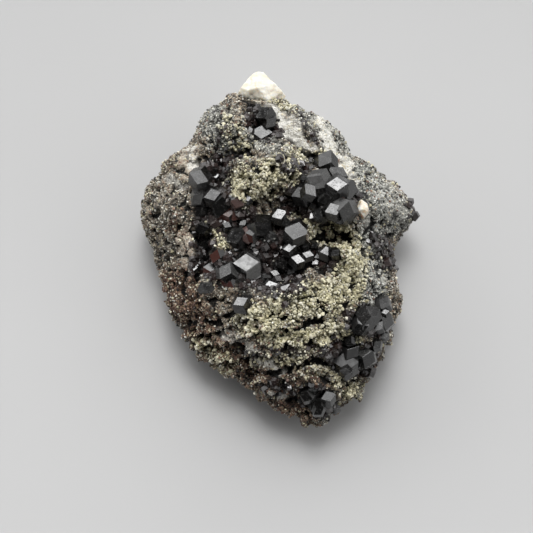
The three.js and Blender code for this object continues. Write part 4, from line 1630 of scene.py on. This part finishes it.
@dataclass
class Studio:
    """Soft lights over a pale floor, and the camera."""

    key_radiance: float = 9.5
    key_half: float = math.radians(10.8)
    key_distance: float = 2.5
    key_towards: Point = (0, 0.342, 0.94)
    floor_size: float = 6.0
    sensor: float = 36.0
    frame_width: float = 135.915 * MM
    picture: int = 533
    off_centre: Spot = (-10.5, -17.5)  # the camera's shift in pixels of the picture
    dusk: Colour = (0.028, 0.028, 0.028)
    panels: tuple[Panel, ...] = (  # overhead, at the right, past the far end, at the left
        Panel((0, 0.36, 0.93), 18, 9, (4, 4, 4)),
        Panel((0.9, 0.0, 0.45), 34, 14, (1.1, 1.1, 1.1)),
        Panel((0, 0.95, 0.3), 34, 16, (2, 2, 2)),
        Panel((-0.9, 0.35, 0.3), 28, 12, (1.7, 1.7, 1.7)),
    )

    def build(self) -> None:
        """Makes the floor, the lights, the world and the camera."""
        deselect()
        bpy.ops.mesh.primitive_plane_add(size=self.floor_size)
        floor = bpy.context.object
        floor.name = "floor"
        floor.data.materials.append(FloorFinish().material())
        self._key(Vector(self.key_towards))
        self._room()
        self._camera()

    def _key(self, direction: Vector) -> None:
        """A round soft light that looks at the specimen from a direction."""
        radius = self.key_distance * math.tan(self.key_half)
        data = bpy.data.lights.new("key", "AREA")
        data.shape = "DISK"
        data.size = 2 * radius
        data.energy = self.key_radiance * math.pi * math.pi * radius**2
        light = new_object("key", data)
        light.location = Vector(SIGHT.aim) + self.key_distance * direction.normalized()
        light.rotation_euler = direction.to_track_quat("Z", "Y").to_euler()

    def _room(self) -> None:
        """A dusky room with a pale panel on each side that light comes from."""
        world = bpy.data.worlds.new("room")
        bpy.context.scene.world = world
        make = Nodes(world, "ShaderNodeOutputWorld")
        direction = make.add("TexCoord").outputs["Generated"]
        light: object = self.dusk
        for panel in self.panels:
            light = make.mix(1.0, light, panel.light(make, direction), "ADD")
        background = make.add("Background", {0: light, 1: 1.0})
        make.tree.links.new(background.outputs[0], make.output.inputs[0])

    def _camera(self) -> None:
        """Looks at the specimen as the sight does."""
        scene = bpy.context.scene
        data = bpy.data.cameras.new("camera")
        data.sensor_width = self.sensor
        data.lens = self.sensor * SIGHT.distance / self.frame_width
        data.shift_x, data.shift_y = (pixels / self.picture for pixels in self.off_centre)
        camera = new_object("camera", data)
        camera.location = SIGHT.eye
        camera.rotation_euler = SIGHT.towards_eye.to_track_quat("Z", "Y").to_euler()
        scene.camera = camera
        scene.view_settings.view_transform = "Standard"
        scene.view_settings.look = "None"


def main() -> None:
    """Builds every piece in order."""
    logging.basicConfig(level=logging.INFO, format="%(name)s: %(message)s")
    Studio().build()
    sockets = [copy_of(node, f"plain_{node}") for node in (*CRYSTAL_NODES, *CALCITE_NODES)]
    crust = copy_of(CRUST_NODE, f"plain_{CRUST_NODE}")
    solid = copy_of("matrix", "plain_matrix")
    plain = [*sockets, crust]
    tree = tree_of(plain)
    rock = Rock()
    rock.build(plain, tree_of(sockets), tree_of([crust]), tree_of([solid]))
    rock.dress()
    surface = Surface(rock.piece, rock.openness)
    for grains in STREWN:
        grains.strew(surface, tree)
    garnet = GarnetFinish().material()
    crystals = [Crystals(node).build() for node in (*CRYSTAL_NODES, CRUST_NODE)]
    for piece in crystals:
        finish_piece(piece, garnet)
    Druse(surface).build(garnet, tree)
    Seedlings().build(garnet, tree_of([rock.piece, *crystals]))
    Calcite("calcite_knob", 0.26 * MM, 0.34 * MM).build(CalciteFinish().material())
    stained = CalciteFinish("stained calcite", stained=0.6)
    Calcite("calcite_grain", 0.14 * MM, 0.2 * MM).build(stained.material())
    for piece in (*plain, solid):
        bpy.data.objects.remove(piece)


if __name__ == "__main__":
    main()
